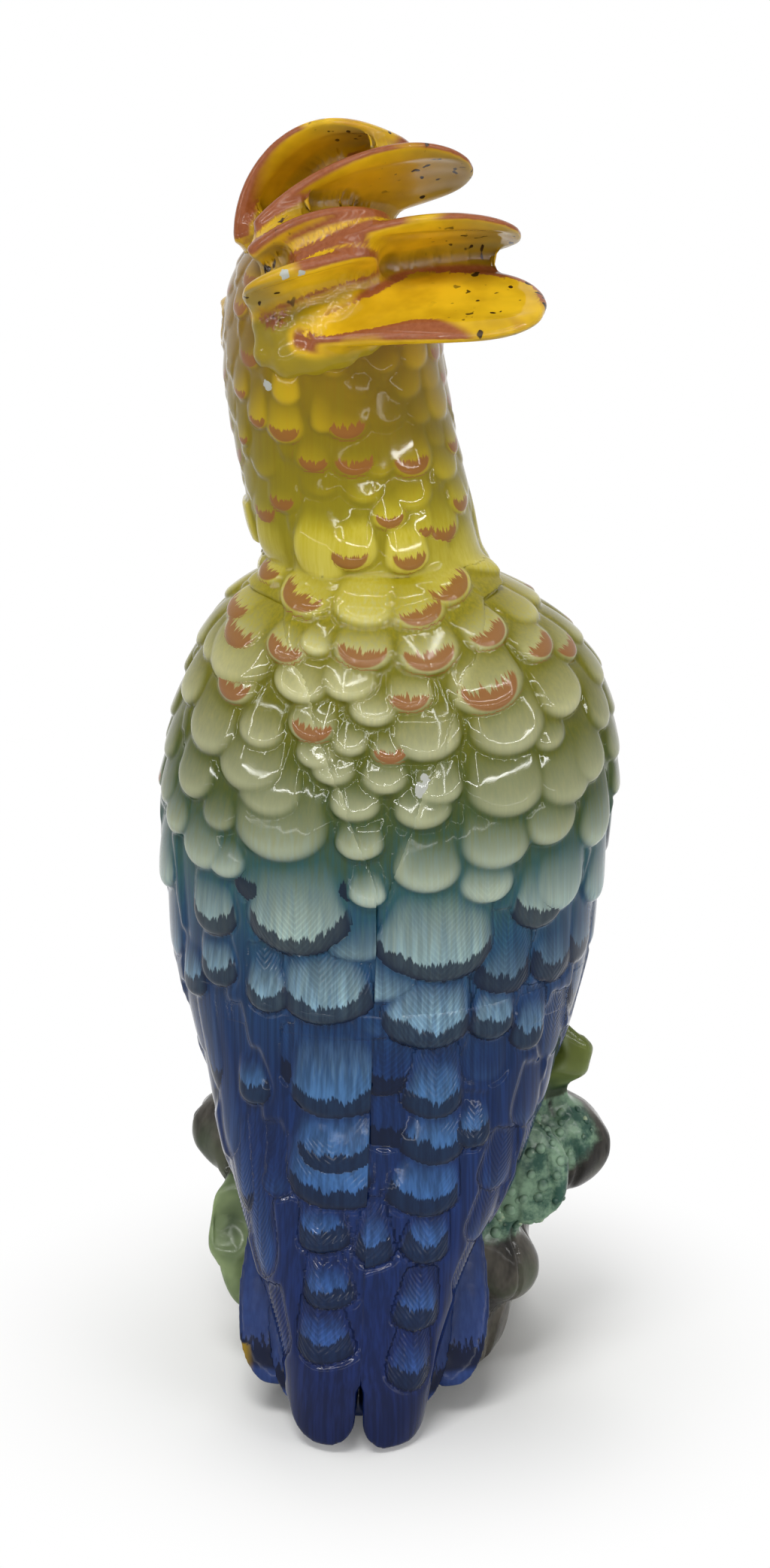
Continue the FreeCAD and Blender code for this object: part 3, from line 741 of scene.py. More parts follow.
def blade(node, name, grain, dish, root):
    """A blade with a hollow down both faces and a rolled rim."""
    piece = smooth(clay(name, [node], grain), 5)
    mesh = piece.data
    points, normals, edges = arrays_of(mesh)
    share, across, thin = blade_places(points, root)
    hollow = unit(1 - (np.abs(across) / RIM) ** 4) * np.clip(share * 5, 0.2, 1)
    hollow *= unit((0.985 - share) / 0.10) * unit(np.abs(normals @ thin) * 1.6 - 0.4)
    fold = 0.25 * MM * np.cos(across * 9)
    move = -(dish * hollow + fold * hollow)
    set_points(mesh, points + normals * blur(move, edges, 3)[:, None])
    # The depth of the dish is kept for the leaves' painted shade and painted highlights.
    keep(mesh, along=share, across=across, rim=unit(1 - blur(hollow, edges, 3)),
         pool=blur(move, edges, 14) - move)
    return finished(piece)


def leaf_blade(node):
    """A leaf as a blade that grows from the middle of the stump."""
    root = (0, -0.005, middle_of(node).z)
    return blade(node, node.replace("leaf_", "foliage_"), grain=0.8 * MM, dish=0.8 * MM, root=root)


def veined(piece):
    """Raises a leaf's middle rib and its side veins."""
    mesh = piece.data
    along, across = kept(mesh, "along"), kept(mesh, "across")
    rib = np.exp(-(across / 0.10) ** 2)
    side = unit(np.sin((along * 7 - np.abs(across) * 1.6) * 2 * math.pi) * 2.5 - 1.5)
    vein = np.maximum(rib, 0.55 * side * (1 - across ** 2)) * unit((0.97 - along) / 0.1)
    set_points(mesh, points_of(mesh) + normals_of(mesh) * (vein * 0.75 * MM)[:, None])
    keep(mesh, vein=vein)
    return piece


# %% All the blades
NODES = list(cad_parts)
CREST_NODES = ["crest_feather_%d" % n for n in range(1, 8)]
TAIL_NODES = [n for n in NODES if n.startswith("tail_feather")]
LEAF_NODES = [n for n in NODES if n.startswith("leaf_front")]
SIDE_LEAF_NODES = [n for n in NODES if n.startswith("leaf_") and n not in LEAF_NODES]
CROWN_ROOT = (*middle_of("head_shell").xy, 0.372)      # the crest's blades grow from here
TAIL_ROOT = (0, 0.03, 0.12)             # and the tail's from here

crest_blades = [blade(node, node, grain=0.70 * MM, dish=2.0 * MM, root=CROWN_ROOT)
                for node in CREST_NODES]
tail = [blade(node, node.replace("tail_feather", "tail"), grain=0.85 * MM, dish=0.5 * MM,
              root=TAIL_ROOT) for node in TAIL_NODES]
leaves = [veined(leaf_blade(node)) for node in LEAF_NODES]
side_leaves = [leaf_blade(node) for node in SIDE_LEAF_NODES]
for piece in tail:                      # the outermost feather has an ochre edge, but for a gap
    points = points_of(piece.data)
    outer = unit((points[:, 0] - 0.0435) / 0.003) * (piece.name == "tail_left_outer")
    outer *= (points[:, 2] < 0.026) + (points[:, 2] > 0.072)
    keep(piece.data, gild=outer)
print("blades", len(crest_blades), "crest", len(tail), "tail", len(leaves), "leaves")

# %% [markdown]
# The crest's blades melt into each other and into the crown: slip fills the narrow valleys
# between them. Swelling the joined blades, giving them one skin and shrinking it back by
# as much does the same, because what closed while it was swollen stays closed.

# %% One skin for the crest
ROOTS = (                               # pixel x and y, and radius in mm
    (350, 470, 6), (380, 478, 8), (412, 470, 9), (446, 456, 10), (480, 438, 10),
    (512, 420, 10), (342, 400, 7), (350, 430, 7), (372, 440, 8), (420, 430, 10),
    (460, 410, 10))
CREST_GRAIN = 0.80 * MM


def grown(piece, distance):
    """Moves a skin outwards, or inwards where the distance is below 0."""
    mesh = piece.data
    set_points(mesh, points_of(mesh) + normals_of(mesh) * distance)
    return piece


def root_lumps(mesh):
    """Thickenings at the crest's root, half sunk in the head."""
    for x, y, radius in ROOTS:
        place, out, _, _ = BODY.ray_cast(EYE, sight(x, y))
        if place is not None:
            middle = place - out * radius * 0.62 * MM
            bmesh.ops.create_icosphere(mesh, subdivisions=3, radius=radius * MM,
                                       matrix=Matrix.Translation(middle))


def crown_cap(height, depth):
    """The top of the head, a little smaller, for the crest to grow from."""
    mesh = outside_of("head_shell")
    bmesh.ops.bisect_plane(mesh, geom=mesh.verts[:] + mesh.edges[:] + mesh.faces[:], dist=1e-6,
                           plane_co=(0, 0, height), plane_no=(0, 0, 1), clear_inner=True)
    bmesh.ops.holes_fill(mesh, edges=[e for e in mesh.edges if e.is_boundary], sides=0)
    mesh.normal_update()
    for vertex, move in [(v, v.normal * depth) for v in mesh.verts]:
        vertex.co -= move
    return mesh


def joined_crest(web):
    """Blades and crown in one skin, with the valleys between them filled."""
    mesh = crown_cap(height=0.340, depth=3.2 * MM)
    root_lumps(mesh)
    for piece in crest_blades:
        mesh.from_mesh(piece.data)
    crest = piece_of(mesh, "crest")
    crest.data.attributes.remove(crest.data.attributes["pool"])
    smooth(remeshed(crest, CREST_GRAIN), 2)
    smooth(remeshed(grown(crest, web), CREST_GRAIN), 2)
    return smooth(grown(crest, -web), 3)


def crest_places(crest):
    """Carries each blade's rim and length over to the joined skin."""
    mesh = crest.data
    points, normals, edges = arrays_of(mesh)
    hit, away = nearest(points, np.concatenate([points_of(b.data) for b in crest_blades]))
    keep(mesh, **{name: np.concatenate([kept(b.data, name) for b in crest_blades])[hit]
                  for name in ("along", "across", "rim")})
    # The depth of the hollows sets the crest's painted shade.
    keep(mesh, web=away, pool=hollows(points, normals, edges, 25))
    finished(crest)


crest = joined_crest(web=3.6 * MM)
crest_places(crest)
remove(crest_blades)

# %% [markdown]
# An eye is a low dome in its lid, so a flattened copy of the measured one takes its place.

# %% Eyes
FLATTER = 0.66                          # how much of the measured eye's bulge is left


def eye(name, node, side):
    """One eye, drawn in to the head. Side: 1 where the bulge points along x, else -1."""
    piece = smooth(clay(name, [node], 0.45 * MM), 3)
    points = points_of(piece.data)
    inner = side * (side * points[:, 0]).min()
    points[:, 0] = inner + (points[:, 0] - inner) * FLATTER
    set_points(piece.data, points)
    return finished(piece)


eyes = [eye("eye_left", "left_eye", 1), eye("eye_right", "right_eye", -1)]

# %% [markdown]
# The photograph shows four places where a flake of glaze has come off and the pale body of
# the pottery shows. They too are found along lines of sight.

# %% Chips in the glaze
CHIPS = ((378, 365, 2.3), (401, 364, 1.7), (355, 513, 2.6),     # pixels, radius in mm
         (561, 1051, 3.8), (566, 1036, 2.4))


def spot(points, place, radius):
    """1 near a place, and down to 0 at one and a half times the radius from it."""
    return unit(1.5 - np.linalg.norm(points - np.array(place), axis=1) / (radius * MM))


def chipped(pieces):
    """Stores on each skin how near every point is to a chip."""
    trees = [tree_of([piece]) for piece in pieces]
    near = [np.zeros(len(piece.data.vertices)) for piece in pieces]
    for x, y, radius in CHIPS:
        hits = [(tree.ray_cast(EYE, sight(x, y)), n) for n, tree in enumerate(trees)]
        hits = [(hit[3], n, hit[0]) for hit, n in hits if hit[0] is not None]
        if hits:
            _, n, place = min(hits, key=lambda hit: hit[0])
            near[n] = np.maximum(near[n], spot(points_of(pieces[n].data), place, radius))
    for piece, values in zip(pieces, near):
        keep(piece.data, chip=values)


chipped([torso, head, left_wing, right_wing, crest])

# %% [markdown]
# ## The stump
# The stump, its sawn branch knots, its burl, its roots and the leaves at its sides were
# cast as one lump. They get one skin in the same way as the crest, so that slip fills the
# joints. Bark is long shallow furrows that run down it, broken by softer lumps.

# %% One skin for the stump
STUMP_NODES = ["stump_shell", "trunk_knot_left", "trunk_knot_right", "trunk_burl_right",
               "trunk_root_left", "trunk_root_right"]
STUMP_GRAIN = 1.2 * MM


def joined_stump(web):
    """Trunk, knots, roots and side leaves in one skin."""
    stump = clay("stump", STUMP_NODES, STUMP_GRAIN)
    whole = bmesh.new()
    for piece in [stump] + side_leaves:
        whole.from_mesh(piece.data)
    whole.to_mesh(stump.data)
    whole.free()
    grown(remeshed(stump, STUMP_GRAIN), web)
    return smooth(grown(smooth(remeshed(stump, STUMP_GRAIN), 4), -web), 6)


stump = joined_stump(web=4.0 * MM)

# %% Where leaves and moss lie on it
MOSSY = "foliage_right_middle"          # a leaf on the right side that moss has covered
MOSS = ((735, 1440, 15), (742, 1500, 15), (752, 1560, 13), (716, 1470, 12))   # radius in mm


def leafy(points):
    """1 on the side leaves, and down to 0 a few millimetres off them."""
    bare = [points_of(leaf.data) for leaf in side_leaves if not leaf.name.startswith(MOSSY)]
    away = nearest(points, np.concatenate(bare))[1]
    return unit(1 - (away - 0.6 * MM) / (2.6 * MM))


def mossy(piece):
    """1 where moss grows: round the listed pixels, and over one leaf."""
    points, skin = points_of(piece.data), tree_of([piece])
    moss = np.zeros(len(points))
    for x, y, radius in MOSS:
        place = skin.ray_cast(EYE, sight(x, y))[0]
        if place is not None:
            moss = np.maximum(moss, spot(points, place, radius))
    for leaf in side_leaves:
        if leaf.name.startswith(MOSSY):
            low, high = points_of(leaf.data).min(axis=0), points_of(leaf.data).max(axis=0)
            far = np.abs((points - (low + high) / 2) / ((high - low) / 2)).max(axis=1)
            moss = np.maximum(moss, unit(2.2 - far * 1.2))
    return moss


# %% Bark
DEEPEST_CRACK, HIGHEST_LUMP = -3.5 * MM, 1.8 * MM


def bark_height(points, normals, leaf, moss):
    """Lumps, facets, furrows and cracks of the bark, grit of the moss, folds of the leaves."""
    upright = unit(1.2 - np.abs(normals[:, 2]) * 1.2)
    lumps = waves(points, (110, 110, 75), 1)
    facets = 1.2 - 1.6 * np.sqrt(waves(points, (78, 78, 60), 12) ** 2 + 0.10)
    furrows = 1 - np.abs(waves(points, (380, 380, 70), 2))
    cracks = np.minimum(0, np.abs(waves(points, (260, 260, 60), 5)) - 0.30) * upright
    grit = waves(points, (520, 520, 420), 6)
    folds = 1.0 - 1.6 * np.sqrt(waves(points, (190, 190, 210), 8) ** 2 + 0.03)
    height = ((0.8 * lumps + 1.7 * facets + 0.8 * furrows * upright + 5.0 * cracks) * (1 - leaf)
              + 0.4 * grit * moss + 1.7 * folds * leaf) * MM
    height *= unit(points[:, 2] / 0.004)
    return np.clip(height, DEEPEST_CRACK, HIGHEST_LUMP)


def bark(piece):
    """Models the bark down to the floor, and stores where leaves and moss are."""
    mesh = piece.data
    points, normals, edges = arrays_of(mesh)
    leaf, moss = leafy(points), mossy(piece)
    set_points(mesh, points + normals * bark_height(points, normals, leaf, moss)[:, None])
    points = points_of(mesh)
    points[:, 2] = np.maximum(points[:, 2], 0)
    set_points(mesh, points)
    # The depth of the hollows is kept for the painted shade in the cracks.
    keep(mesh, pool=hollows(points, normals, edges, 20), leaf=leaf, moss=moss * (1 - leaf))
    finished(piece)


bark(stump)
remove(side_leaves)

# %% [markdown]
# ## Glazes
# A shader works in linear light, so each web colour is converted. `add` makes one node and
# fills its inputs. A recipe is mostly sums, and `Value` lets them be written as sums: two
# nodes' outputs can be added or multiplied, and each sum makes the Math node that it needs.

# %% Colours and nodes
def colour(code):
    """A web colour as linear red, green, blue and alpha."""
    parts = [int(code[i:i + 2], 16) / 255 for i in (0, 2, 4)]
    return [p / 12.92 if p < 0.04045 else ((p + 0.055) / 1.055) ** 2.4 for p in parts] + [1]


def feed(socket, value):
    """Fills an input with a number, a web colour or another node's output."""
    value = getattr(value, "socket", value)
    if isinstance(value, bpy.types.NodeSocket):
        socket.id_data.links.new(value, socket)
    else:
        socket.default_value = colour(value) if isinstance(value, str) else value


def add(tree, kind, inputs=None, **settings):
    """One node with its settings and inputs."""
    node = tree.nodes.new(kind)
    for name, value in settings.items():
        setattr(node, name, value)
    for name, value in (inputs or {}).items():
        feed(node.inputs[name], value)
    return node


def maths(operation, first, second=0.0, clamp=False):
    """One Math node. Clamp holds its result between 0 and 1."""
    tree = (first if isinstance(first, Value) else second).tree
    node = add(tree, "ShaderNodeMath", {0: first, 1: second}, operation=operation, use_clamp=clamp)
    return Value(node.outputs[0])


class Value:
    """A node's output that can stand in a sum, such as a * 0.5 + b or 1 - a."""

    def __init__(self, socket):
        self.socket, self.tree = socket, socket.id_data

    def __add__(self, other):
        return maths("ADD", self, other)

    def __sub__(self, other):
        return maths("SUBTRACT", self, other)

    def __rsub__(self, other):
        return maths("SUBTRACT", other, self)

    def __mul__(self, other):
        return maths("MULTIPLY", self, other)

    def __truediv__(self, other):
        return maths("DIVIDE", self, other)

    def __pow__(self, other):
        return maths("POWER", self, other)

    def __abs__(self):
        return maths("ABSOLUTE", self)


# %% Steps, mixtures and noise
def between(value, low, high):
    """0 below low, 1 above high and a soft step between them."""
    return Value(add(value.tree, "ShaderNodeMapRange",
                     {"Value": value, "From Min": low, "From Max": high},
                     interpolation_type="SMOOTHSTEP").outputs["Result"])


def mixed(share, first, second):
    """The first colour where the share is 0, and the second where it is 1."""
    return Value(add(share.tree, "ShaderNodeMix", {0: share, 6: first, 7: second},
                     data_type="RGBA").outputs[2])


def times(base, factor):
    """A colour made lighter or darker by a factor."""
    return Value(add(base.tree, "ShaderNodeMix", {0: 1.0, 6: base, 7: factor},
                     data_type="RGBA", blend_type="MULTIPLY").outputs[2])


def ramp(value, stops):
    """A colour ramp from places and web colours."""
    node = add(value.tree, "ShaderNodeValToRGB", {"Fac": value})
    points = node.color_ramp.elements
    while len(points) < len(stops):
        points.new(0.5)
    for point, (place, _) in zip(points, stops):
        point.position = place
    for point, (_, code) in zip(points, stops):
        point.color = colour(code)
    return Value(node.outputs["Color"])


def noise(tree, scale, detail=2.0, rough=0.5, place=None):
    """Clouds from 0 to 1. The scale is one number, or three that stretch them."""
    if place is None:
        place = add(tree, "ShaderNodeTexCoord").outputs["Object"]
    if isinstance(scale, tuple):
        place = add(tree, "ShaderNodeMapping", {"Vector": place, "Scale": scale}).outputs["Vector"]
        scale = 1.0
    return Value(add(tree, "ShaderNodeTexNoise", {"Vector": place, "Scale": scale, "Detail": detail,
                                                  "Roughness": rough}).outputs["Fac"])


def stored(tree, name):
    """A number that was stored on the piece's points."""
    return Value(add(tree, "ShaderNodeAttribute", attribute_name=name).outputs["Fac"])


def z_of(vector):
    """The upward part of a vector."""
    return Value(add(vector.id_data, "ShaderNodeSeparateXYZ", {"Vector": vector}).outputs["Z"])


def height(tree):
    """Height over the floor in metres."""
    return z_of(add(tree, "ShaderNodeTexCoord").outputs["Object"])


# %% The clear glaze over any paint
CHIPPED = "b4b6ae"                      # the pottery's pale body
SPECULAR = 0.17                         # how strongly the glaze mirrors the lamps
FINE = 0.00004                          # depth of the fine relief, in metres


def glaze(name, paint, rough, bump=None):
    """A wet-looking fired glaze. Paint builds the colour; bump, if given, the fine relief."""
    material = bpy.data.materials.new(name)
    material.use_nodes = True
    tree = material.node_tree
    shader = tree.nodes["Principled BSDF"].inputs
    chip = between(stored(tree, "chip") + noise(tree, 700.0) * 0.9, 1.22, 1.30)
    feed(shader["Base Color"], mixed(chip, paint(tree), CHIPPED))
    wear = add(tree, "ShaderNodeMapRange", {"Value": between(noise(tree, 90.0), 0.35, 0.75),
                                            "To Min": rough, "To Max": rough * 1.9})
    feed(shader["Roughness"], wear.outputs["Result"])
    feed(shader["IOR"], 1.5)
    feed(shader["Specular IOR Level"], SPECULAR)
    if bump:
        node = add(tree, "ShaderNodeBump",
                   {"Height": bump(tree), "Distance": FINE, "Strength": 1.0})
        feed(shader["Normal"], node.outputs["Normal"])
    return material


def glazed(pieces, material):
    """Puts one glaze on some pieces."""
    for piece in pieces:
        piece.data.materials.append(material)


# %% [markdown]
# ### Plumage
# The glaze runs from yellow at the crown through a pale green to deep blue at the tips.
# It is thin and pale on the crowns of the feathers and gathers, darker, in the hollows;
# the hollow colours are also darker than the pooled glaze alone, as painted shade for the
# creases between the scallops. So two ramps go by height, one for crowns and one for
# hollows, and the depth of the hollow mixes them. The brush left fine upright streaks,
# which shift the ramps slightly.

# %% The plumage's colour
# The hollow colours are pooled glaze, darkened further as painted shade for the creases.
PAINTS = (                              # share of the full height, crown colour, hollow colour
    (0.000, "2c447e", "121d46"), (0.090, "2e4f8a", "10204e"), (0.210, "355b8e", "112654"),
    (0.300, "436a94", "122b56"), (0.360, "7696a8", "18365c"), (0.410, "90a8a6", "1f4460"),
    (0.450, "a8b5a4", "2c5458"), (0.500, "a6aa86", "3c4e28"), (0.560, "b6b68e", "585c12"),
    (0.630, "d2ce94", "787212"), (0.672, "cdc050", "9c8f14"), (0.720, "bcac24", "8a7e0a"),
    (0.790, "c0a210", "826e04"), (0.870, "c69c08", "846404"), (1.000, "c89a0a", "805806"))
TALL = 0.42                             # the height that share 1 stands for, in metres
PALER = (1.45, 1.50, 1.45, 1)           # on the crown of each barb the blue is lighter


def barbs(tree):
    """Fine ribs that run out and down from a feather's middle line, on the blue ones."""
    slant = abs(stored(tree, "across")) * 0.9 - stored(tree, "along")
    patch = between(noise(tree, 22.0, 1.0), 0.44, 0.64)
    low = 1.0 - between(height(tree), 0.165, 0.200)
    return maths("SINE", slant * 3000.0) * patch * low


def plumage_colour(tree):
    """Colour by height, darker in the hollows as pooled glaze and painted shade, with barbs and
    brush strokes on the blue.
    """
    z = height(tree)
    streak, drift = noise(tree, (900, 900, 22), 2.0, 0.6), noise(tree, 28.0)
    moved = z + (streak - 0.5) * 0.030 + (drift - 0.5) * 0.020
    share = maths("DIVIDE", moved, TALL, clamp=True)
    crown = ramp(share, [(place, code) for place, code, _ in PAINTS])
    hollow = ramp(share, [(place, code) for place, _, code in PAINTS])
    # Painted shade: points that lie deep below their neighbours, or low on a feather, take the
    # darker hollow colour.
    shade = stored(tree, "rise") - stored(tree, "pool") * 330.0
    base = mixed(between(shade, 0.26, 1.22), hollow, crown)
    base = mixed(maths("MULTIPLY", barbs(tree), 0.55, clamp=True), base, times(base, PALER))
    brush = between(noise(tree, (620, 620, 15), 2.0, 0.65), 0.34, 0.70) * 0.62 + 0.74
    base = mixed(1.0 - between(z, 0.145, 0.205), base, times(base, brush))
    return touches(tree, base)


def touches(tree, base):
    """Rust or navy dabs at the tips of some feathers, with a combed upper edge."""
    along, across, side, up = (stored(tree, n) for n in ("along", "across", "side", "up"))
    line = add(tree, "ShaderNodeCombineXYZ", {"X": across, "Y": stored(tree, "tone")}).outputs[0]
    comb, wide = noise(tree, 900.0, 3.0, 0.7, line), noise(tree, 160.0, 1.0, 0.5, line)
    fringe = between(comb * 0.0085 + wide * 0.0055 - along, -0.0002, 0.0005)
    navy = fringe * (1.0 - between(side + wide * 0.1, 0.92, 1.0))
    low = maths("MINIMUM", up - 0.36, 0.0) / 0.30
    cup = maths("SQRT", low ** 2.0 + (side / 0.70) ** 2.0)
    lip = comb * 0.44 + side * 0.10 + 0.06
    rust = (1.0 - between(cup, 0.93, 1.03)) * between(lip - up, -0.01, 0.025)
    for name, code, shape in (("rust", "8e5426", rust), ("navy", "08142c", navy)):
        mask = shape * between(stored(tree, name), 0.45, 0.6)
        base = mixed(mask * 0.88, base, code)
    return base


PLUMAGE = glaze("plumage_glaze", plumage_colour, 0.05, barbs)
glazed([torso, left_wing, right_wing, head, *thighs], PLUMAGE)
print("plumage colours", 2 * len(PAINTS) + 2)

# %% [markdown]
# ### Crest, tail, leaves and bark
# Each has its own recipe under the same glaze. The crest is yellow with rust brushed along
# its rims and onto its root, the tail is blue with navy combed into it, the leaves are
# green with pale veins, and the bark is washed in greys with moss on one side. The crest,
# the leaves and the bark are also darkened in their hollows as painted shade, and the
# leaves' raised folds are lightened as painted highlights.

# %% The crest's and the tail's colour
def crest_colour(tree):
    """Yellow faces with painted shade in the deepest hollows, streaky rust rims, dull tips
    underneath and brown flecks.
    """
    web, along = stored(tree, "web"), stored(tree, "along")
    drift, streak = noise(tree, 60.0, 3.0), noise(tree, (700, 700, 700))
    face = mixed(between(drift, 0.35, 0.7), "e8bb20", "c69c16")
    crown = between(web, 0.0010, 0.0045) * (1.0 - between(height(tree), 0.366, 0.386))
    face = mixed(crown, face, mixed(drift, "8a7414", "b09a24"))
    # Painted shade: the deepest hollows between and under the blades turn shadow brown.
    face = mixed(between(stored(tree, "pool"), 0.0003, 0.0022) * 0.85, face, "5e4407")
    up = z_of(add(tree, "ShaderNodeNewGeometry").outputs["Normal"])
    tip = (1.0 - between(up, -0.7, -0.1)) * between(along, 0.55, 0.95)
    face = mixed(tip * 0.75, face, "8c8052")
    root = between(web, 0.0008, 0.0024)
    rim = between(stored(tree, "rim") + streak * 0.45, 0.98, 1.12) * between(up, -0.45, 0.0)
    rim = rim * (1.0 - root) * between(noise(tree, 34.0, 1.0), 0.36, 0.46)
    dab = between(noise(tree, (60, 60, 34)) + streak * 0.12, 0.68, 0.74) * root
    face = mixed(maths("MAXIMUM", rim, dab), face, mixed(streak, "84431f", "a8643c"))
    fleck = between(noise(tree, (300, 300, 130), 1.0), 0.66, 0.70) * between(along, 0.5, 0.75)
    return mixed(fleck, face, "33220e")


def tail_colour(tree):
    """Deep blue with combed navy near the tip, and an ochre edge on the outermost feather."""
    along = stored(tree, "along")
    base = mixed(noise(tree, (800, 800, 18)), "182a5c", "344c86")
    combed = between(along + noise(tree, (1000, 1000, 60)) * 0.14, 0.93, 0.95)
    band = combed * (1.0 - between(along, 0.94, 0.965))
    edge = between(abs(stored(tree, "across")), 0.84, 0.97)
    base = mixed(maths("MAXIMUM", band, edge * 0.5), base, "0b1634")
    return mixed(stored(tree, "gild") * between(stored(tree, "rim"), 0.8, 0.95), base, "94781f")


# %% The colour of leaves, moss and bark
def leaf_colour(tree):
    """Grey-green low down, olive higher up, painted shade in the hollows, painted highlights on the
    raised folds and pale veins.
    """
    drift, pool = noise(tree, 55.0, 3.0), stored(tree, "pool")
    base = mixed(between(drift, 0.35, 0.68), "62744e", "92a474")
    base = mixed(between(height(tree), 0.085, 0.115), base, mixed(drift, "465226", "7c8738"))
    # Painted shade in the hollows of the leaf.
    base = mixed(between(pool, -0.0001, 0.0009), base, "37492f")
    # Painted highlight on the raised folds.
    base = mixed(between(pool * -1.0, 0.0003, 0.0014) * 0.7, base, "aebb90")
    return mixed(stored(tree, "vein") * 0.6, base, "a9b584")


def moss_colour(tree):
    """Teal-green crumbs, dark between them and pale on some."""
    base = mixed(between(noise(tree, 110.0, 3.0, 0.6), 0.34, 0.60), "345347", "86a489")
    return mixed(between(noise(tree, 420.0, 1.0), 0.60, 0.76), base, "a9b998")


def bark_colour(tree):
    """Grey-brown washes, rubbed pale on the lumps, with green moss, the side leaves and painted
    shade in the cracks.
    """
    base = mixed(between(noise(tree, (60, 60, 26), 4.0, 0.65), 0.36, 0.66), "1f1d1a", "605b52")
    base = mixed(between(noise(tree, (70, 70, 40), 4.0), 0.58, 0.74) * 0.5, base, "85806f")
    base = mixed(between(noise(tree, 36.0, 3.0), 0.50, 0.68) * 0.55, base, "48553c")
    cloud = noise(tree, 110.0, 4.0, 0.65)
    green = mixed(between(cloud, 0.34, 0.60), "34564a", "84a286")
    base = mixed(between(stored(tree, "moss") + cloud * 0.5, 0.6, 0.9), base, green)
    base = mixed(between(stored(tree, "leaf"), 0.2, 0.7), base, leaf_colour(tree))
    # Painted shade: the cracks and hollows of the bark turn nearly black.
    return mixed(between(stored(tree, "pool"), 0.0003, 0.0022), base, "1f221c")


glazed([crest], glaze("crest_glaze", crest_colour, 0.08))
glazed(tail, glaze("tail_glaze", tail_colour, 0.10))
glazed(leaves, glaze("leaf_glaze", leaf_colour, 0.10))
glazed([stump], glaze("bark_glaze", bark_colour, 0.12))
MOSS_GREEN = glaze("moss_glaze", moss_colour, 0.12)
print("glazes", [material.name for material in bpy.data.materials if "_glaze" in material.name])

# %% [markdown]
# ## Moss
# Moss grows as small crumbs on the shaded right side of the stump, and in a few spots
# elsewhere. Geometry nodes scatter them: points are spread over the mossy part of the
# skin, and each point gets a squashed ball, turned to the skin and half sunk in it.

# %% Moss crumbs
MOSSIEST = 0.55                         # crumbs lie where the stored moss is above this


def crumb_tree(material):
    """A node tree that spreads crumbs over a patch; its sizes and its seed are inputs."""
    tree = bpy.data.node_groups.new("moss_crumbs", "GeometryNodeTree")
    face = tree.interface
    face.new_socket("Patch", in_out="INPUT", socket_type="NodeSocketGeometry")
    for name, value in (("Crumbs per square metre", 38000.0), ("Smallest", 0.8 * MM),
                        ("Largest", 2.1 * MM)):
        socket = face.new_socket(name, in_out="INPUT", socket_type="NodeSocketFloat")
        socket.default_value = value
    face.new_socket("Seed", in_out="INPUT", socket_type="NodeSocketInt").default_value = 4
    face.new_socket("Crumbs", in_out="OUTPUT", socket_type="NodeSocketGeometry")
    given = tree.nodes.new("NodeGroupInput").outputs
    spots = add(tree, "GeometryNodeDistributePointsOnFaces",
                {"Mesh": given["Patch"], "Density": given["Crumbs per square metre"],
                 "Seed": given["Seed"]}).outputs
    ball = add(tree, "GeometryNodeMeshIcoSphere", {"Radius": 1.0, "Subdivisions": 2}).outputs[0]
    size = add(tree, "FunctionNodeRandomValue", {2: given["Smallest"], 3: given["Largest"],
                                                 "Seed": given["Seed"]}, data_type="FLOAT")
    wide = Value(size.outputs[1])
    scale = add(tree, "ShaderNodeCombineXYZ", {"X": wide, "Y": wide, "Z": wide * 0.6}).outputs[0]
    placed = add(tree, "GeometryNodeInstanceOnPoints",
                 {"Points": spots["Points"], "Instance": ball, "Rotation": spots["Rotation"],
                  "Scale": scale}).outputs[0]
    solid = add(tree, "GeometryNodeRealizeInstances", {"Geometry": placed}).outputs[0]
    even = add(tree, "GeometryNodeSetShadeSmooth", {0: solid}).outputs[0]
    done = add(tree, "GeometryNodeSetMaterial", {"Geometry": even, "Material": material}).outputs[0]
    tree.links.new(done, tree.nodes.new("NodeGroupOutput").inputs["Crumbs"])
    return tree


def crumbs(name, source, material, settings):
    """The mossy faces of a skin, turned into crumbs."""
    mesh, green = bmesh.new(), kept(source.data, "moss")
    mesh.from_mesh(source.data)
    bare = [face for face in mesh.faces if min(green[v.index] for v in face.verts) < MOSSIEST]
    bmesh.ops.delete(mesh, geom=bare, context="FACES")
    piece = piece_of(mesh, name)
    scatter = piece.modifiers.new("scatter", "NODES")
    scatter.node_group = crumb_tree(material)
    for item in scatter.node_group.interface.items_tree:
        if item.in_out == "INPUT" and item.name in settings:
            scatter[item.identifier] = settings[item.name]
    return tell(applied(piece))


moss = crumbs("moss", stump, MOSS_GREEN, {"Crumbs per square metre": 38000.0, "Seed": 4})

# %% Beak, eyes and feet
def flat(code, other):
    """Two close tones, washed over each other."""
    return lambda tree: mixed(between(noise(tree, 120.0, 3.0), 0.35, 0.65), code, other)


def dress(nodes, material):
    """Gives measured solids that stay in sight a better material."""
    for node in nodes:
        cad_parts[node].data.materials.clear()
    glazed([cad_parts[node] for node in nodes], material)


dress(["upper_beak", "lower_beak"], glaze("beak_glaze", flat("26262a", "3c3b3e"), 0.08))
glazed(eyes, glaze("eye_glaze", flat("08080a", "121012"), 0.03))
TOES = [node for node in NODES if "_toe_" in node]
dress(TOES, glaze("toe_glaze", flat("4a4a4c", "66645f"), 0.12))
print("eyes", len(eyes), "toes", len(TOES))

# %% [markdown]
# ## Joining the frame
# Each piece is set to move with the root body, and the measured solids that it stands for
# are hidden. The solids stay in the model for collision, hidden under the pieces.

# %% Pieces and the solids they stand for
def stand(piece, slot, *nodes):
    """Moves a piece with the root body and hides the solids that it stands for. The slot is not
    used.
    """
    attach(piece, "root")
    if nodes:
        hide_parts(*nodes)


